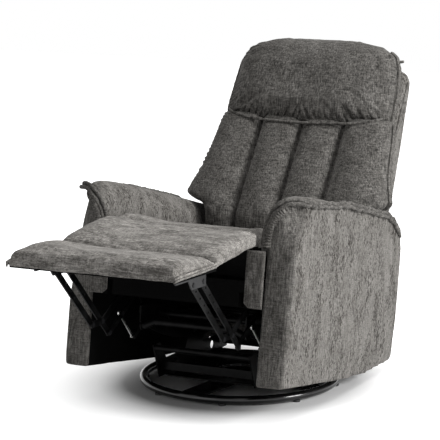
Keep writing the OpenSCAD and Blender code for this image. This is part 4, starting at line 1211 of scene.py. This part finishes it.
def arm_slot(c, side):
    """The material number of a face at level c: black cloth inside, and on the front, back to its seam, the
    darker upright copy of the chenille as painted shade.
    """
    if side * c.x < 0.2715:
        return 1 if c.z < 0.425 and c.y > -0.436 else 0
    front_edge = arm_front(OUTER_X, c.z) + 0.011 - 0.030 * max(0.0, c.z - 0.50) / 0.06
    return 2 if side * c.x > 0.2715 and c.y < front_edge else 0


for ob, (side, nm) in zip((arm, arm_r), SIDES):
    rocked(ob)
    piece(ob, "chair", fabric_panel, [nm + "_arm_box", nm + "_arm_pad"])
    ob.data.materials.append(cloth_black)
    ob.data.materials.append(fabric_upright_painted_shade)
    inverse = LEVEL.inverted()
    for face in ob.data.polygons:
        face.material_index = arm_slot(inverse @ face.center, side)
    pleated_band(side, nm)
    arm_welts(side, nm)


# Front strips and rear apron
def slab(name, xs, zs, y0, y1, bulge, cut=0.0):
    """A thin upholstered panel in the XZ plane, from y0 (front) back to y1, crowned by bulge."""
    nx, nz = 22, 30
    width, height = xs[1] - xs[0], zs[1] - zs[0]
    verts, faces = [], []
    for front in (True, False):
        for i in range(nz):
            for j in range(nx):
                u, v = j / (nx - 1), i / (nz - 1)
                x, z = mix(xs[0], xs[1], u), mix(zs[0], zs[1], v)
                if cut and u * width + v * height < cut:
                    z = zs[0] + cut - u * width
                crown = math.sqrt(max(0, (1 - abs(2 * u - 1) ** 6) * (1 - abs(2 * v - 1) ** 8)))
                y = y0 - bulge * crown + 0.002 * (1 - crown) if front else y1
                verts.append((x, y, z))
    b = nx * nz
    for i in range(nz - 1):
        for j in range(nx - 1):
            p = i * nx + j
            faces.append((p, p + 1, p + nx + 1, p + nx))
            faces.append((b + p + nx, b + p + nx + 1, b + p + 1, b + p))
    bottom = list(range(nx))
    right = [i * nx + nx - 1 for i in range(1, nz)]
    top = [(nz - 1) * nx + j for j in range(nx - 2, -1, -1)]
    left = [i * nx for i in range(nz - 2, 0, -1)]
    rim = bottom + right + top + left
    for p, r in zip(rim, rim[1:] + rim[:1]):
        faces.append((r, p, b + p, b + r))
    ob = new_object(name, verts, faces)
    weld(ob)
    return ob


for s, nm in SIDES:
    ob = slab("front_strip_" + nm, (0.2165, 0.2740), (0.2622, 0.4240), -0.4545, -0.4516, 0.0035, 0.014)
    subdivide(ob)
    crumple(ob, [((0.245, -0.456, 0.288), (1, 0, -0.25), 0.022, 0.004, 0.003),
                 ((0.240, -0.456, 0.30), (1, 0, 0.5), 0.02, 0.004, 0.002)], 0.0008, 20, 8)
    if s < 0:
        ob.data.transform(Matrix.Scale(-1, 4, (1, 0, 0)))
        ob.data.flip_normals()
    piece(rocked(ob), "chair", fabric_upright_painted_shade, ["front_strips"] if s > 0 else [])

apron = slab("rear_apron_upholstery", (-0.2674, 0.2674), (0.0965, 0.3355), -0.3182, -0.3102, 0.0)
for v in apron.data.vertices:
    v.co.y = -v.co.y
apron.data.flip_normals()
subdivide(apron)


def apron_detail(co, no):
    belly = 0.002 * np.clip(no[:, 1], 0, 1) * np.clip(1 - (co[:, 0] / 0.25) ** 4, 0, 1)
    return no * (0.0010 * vnoise(co, 10, 9) + belly)[:, None]


displace(apron, apron_detail)
piece(rocked(apron), "chair", fabric_upright_painted_shade, ["rear_apron"])


# Floor, light and camera
def seen_ray(nt):
    """1 for rays from the camera, straight or by a mirror or glass, and 0 for those that light."""
    rays = nt.nodes.new("ShaderNodeLightPath")
    bounced = math_node(nt, "MAXIMUM", rays.outputs["Is Glossy Ray"], rays.outputs["Is Transmission Ray"])
    return math_node(nt, "MAXIMUM", rays.outputs["Is Camera Ray"], bounced)


FLOOR_HALF = 8
floor_corners = [(-FLOOR_HALF, -FLOOR_HALF, 0), (FLOOR_HALF, -FLOOR_HALF, 0),
                 (FLOOR_HALF, FLOOR_HALF, 0), (-FLOOR_HALF, FLOOR_HALF, 0)]
floor = new_object("floor", floor_corners, [(0, 1, 2, 3)], False)
floor_mat, nt, bsdf = nodes_of("white_floor")
bsdf.inputs["Base Color"].default_value = (0.70, 0.70, 0.70, 1)
bsdf.inputs["Roughness"].default_value = 0.6
bsdf.inputs["Specular IOR Level"].default_value = 0.2
# The white studio floor glows for the camera as a white backdrop; the glow fades out towards the chair, a
# painted shadow under and around it.
tc = nt.nodes.new("ShaderNodeTexCoord")
dist = nt.nodes.new("ShaderNodeVectorMath")
dist.operation = "LENGTH"
nt.links.new(tc.outputs["Object"], dist.inputs[0])
stops = [(0.0, 0.0), (0.345, 0.0), (0.43, 0.38), (0.53, 0.64), (1.0, 1.0)]
backdrop_glow_and_painted_shadow = ramp(nt, dist.outputs["Value"], [(q, grey(v)) for q, v in stops])
glow = nt.nodes.new("ShaderNodeEmission")
glow.inputs["Color"].default_value = (1, 1, 1, 1)
nt.links.new(math_node(nt, "MULTIPLY", seen_ray(nt), backdrop_glow_and_painted_shadow), glow.inputs["Strength"])
both = nt.nodes.new("ShaderNodeAddShader")
nt.links.new(bsdf.outputs[0], both.inputs[0])
nt.links.new(glow.outputs[0], both.inputs[1])
out = next(n for n in nt.nodes if n.type == "OUTPUT_MATERIAL")
nt.links.new(both.outputs[0], out.inputs["Surface"])
floor.data.materials.append(floor_mat)

world = bpy.data.worlds.new("studio")
scene.world = world
world.use_nodes = True
wt = world.node_tree
wt.nodes.clear()
world_mix = wt.nodes.new("ShaderNodeMixShader")
wt.links.new(seen_ray(wt), world_mix.inputs[0])
for socket, strength in ((1, 0.38), (2, 1.0)):
    background = wt.nodes.new("ShaderNodeBackground")
    background.inputs["Color"].default_value = (1, 1, 1, 1)
    background.inputs["Strength"].default_value = strength
    wt.links.new(background.outputs[0], world_mix.inputs[socket])
world_out = wt.nodes.new("ShaderNodeOutputWorld")
wt.links.new(world_mix.outputs[0], world_out.inputs["Surface"])


def aim(ob, loc, target):
    ob.location = loc
    ob.rotation_euler = (Vector(target) - Vector(loc)).to_track_quat("-Z", "Y").to_euler()
    scene.collection.objects.link(ob)


def area(name, loc, target, size, power):
    light = bpy.data.lights.new(name, "AREA")
    light.shape = "SQUARE"
    light.size = size
    light.energy = power
    aim(bpy.data.objects.new(name, light), loc, target)


area("key", (4.4, 0.0, 2.1), (0, 0, 0.45), 1.6, 250)
area("top", (0.6, 0.2, 3.6), (0, -0.1, 0.5), 2.4, 55)
area("front", (-1.0, -4.2, 1.6), (0, 0, 0.5), 2.0, 7)

EYE = (2.8605, -5.9362, 1.6758)
TARGET = (-0.0535, -0.0264, 0.4937)
cam_data = bpy.data.cameras.new("camera")
cam_data.sensor_width = 36
cam_data.lens = 183.84
cam = bpy.data.objects.new("camera", cam_data)
aim(cam, EYE, TARGET)
scene.camera = cam

scene.view_settings.view_transform = "Standard"
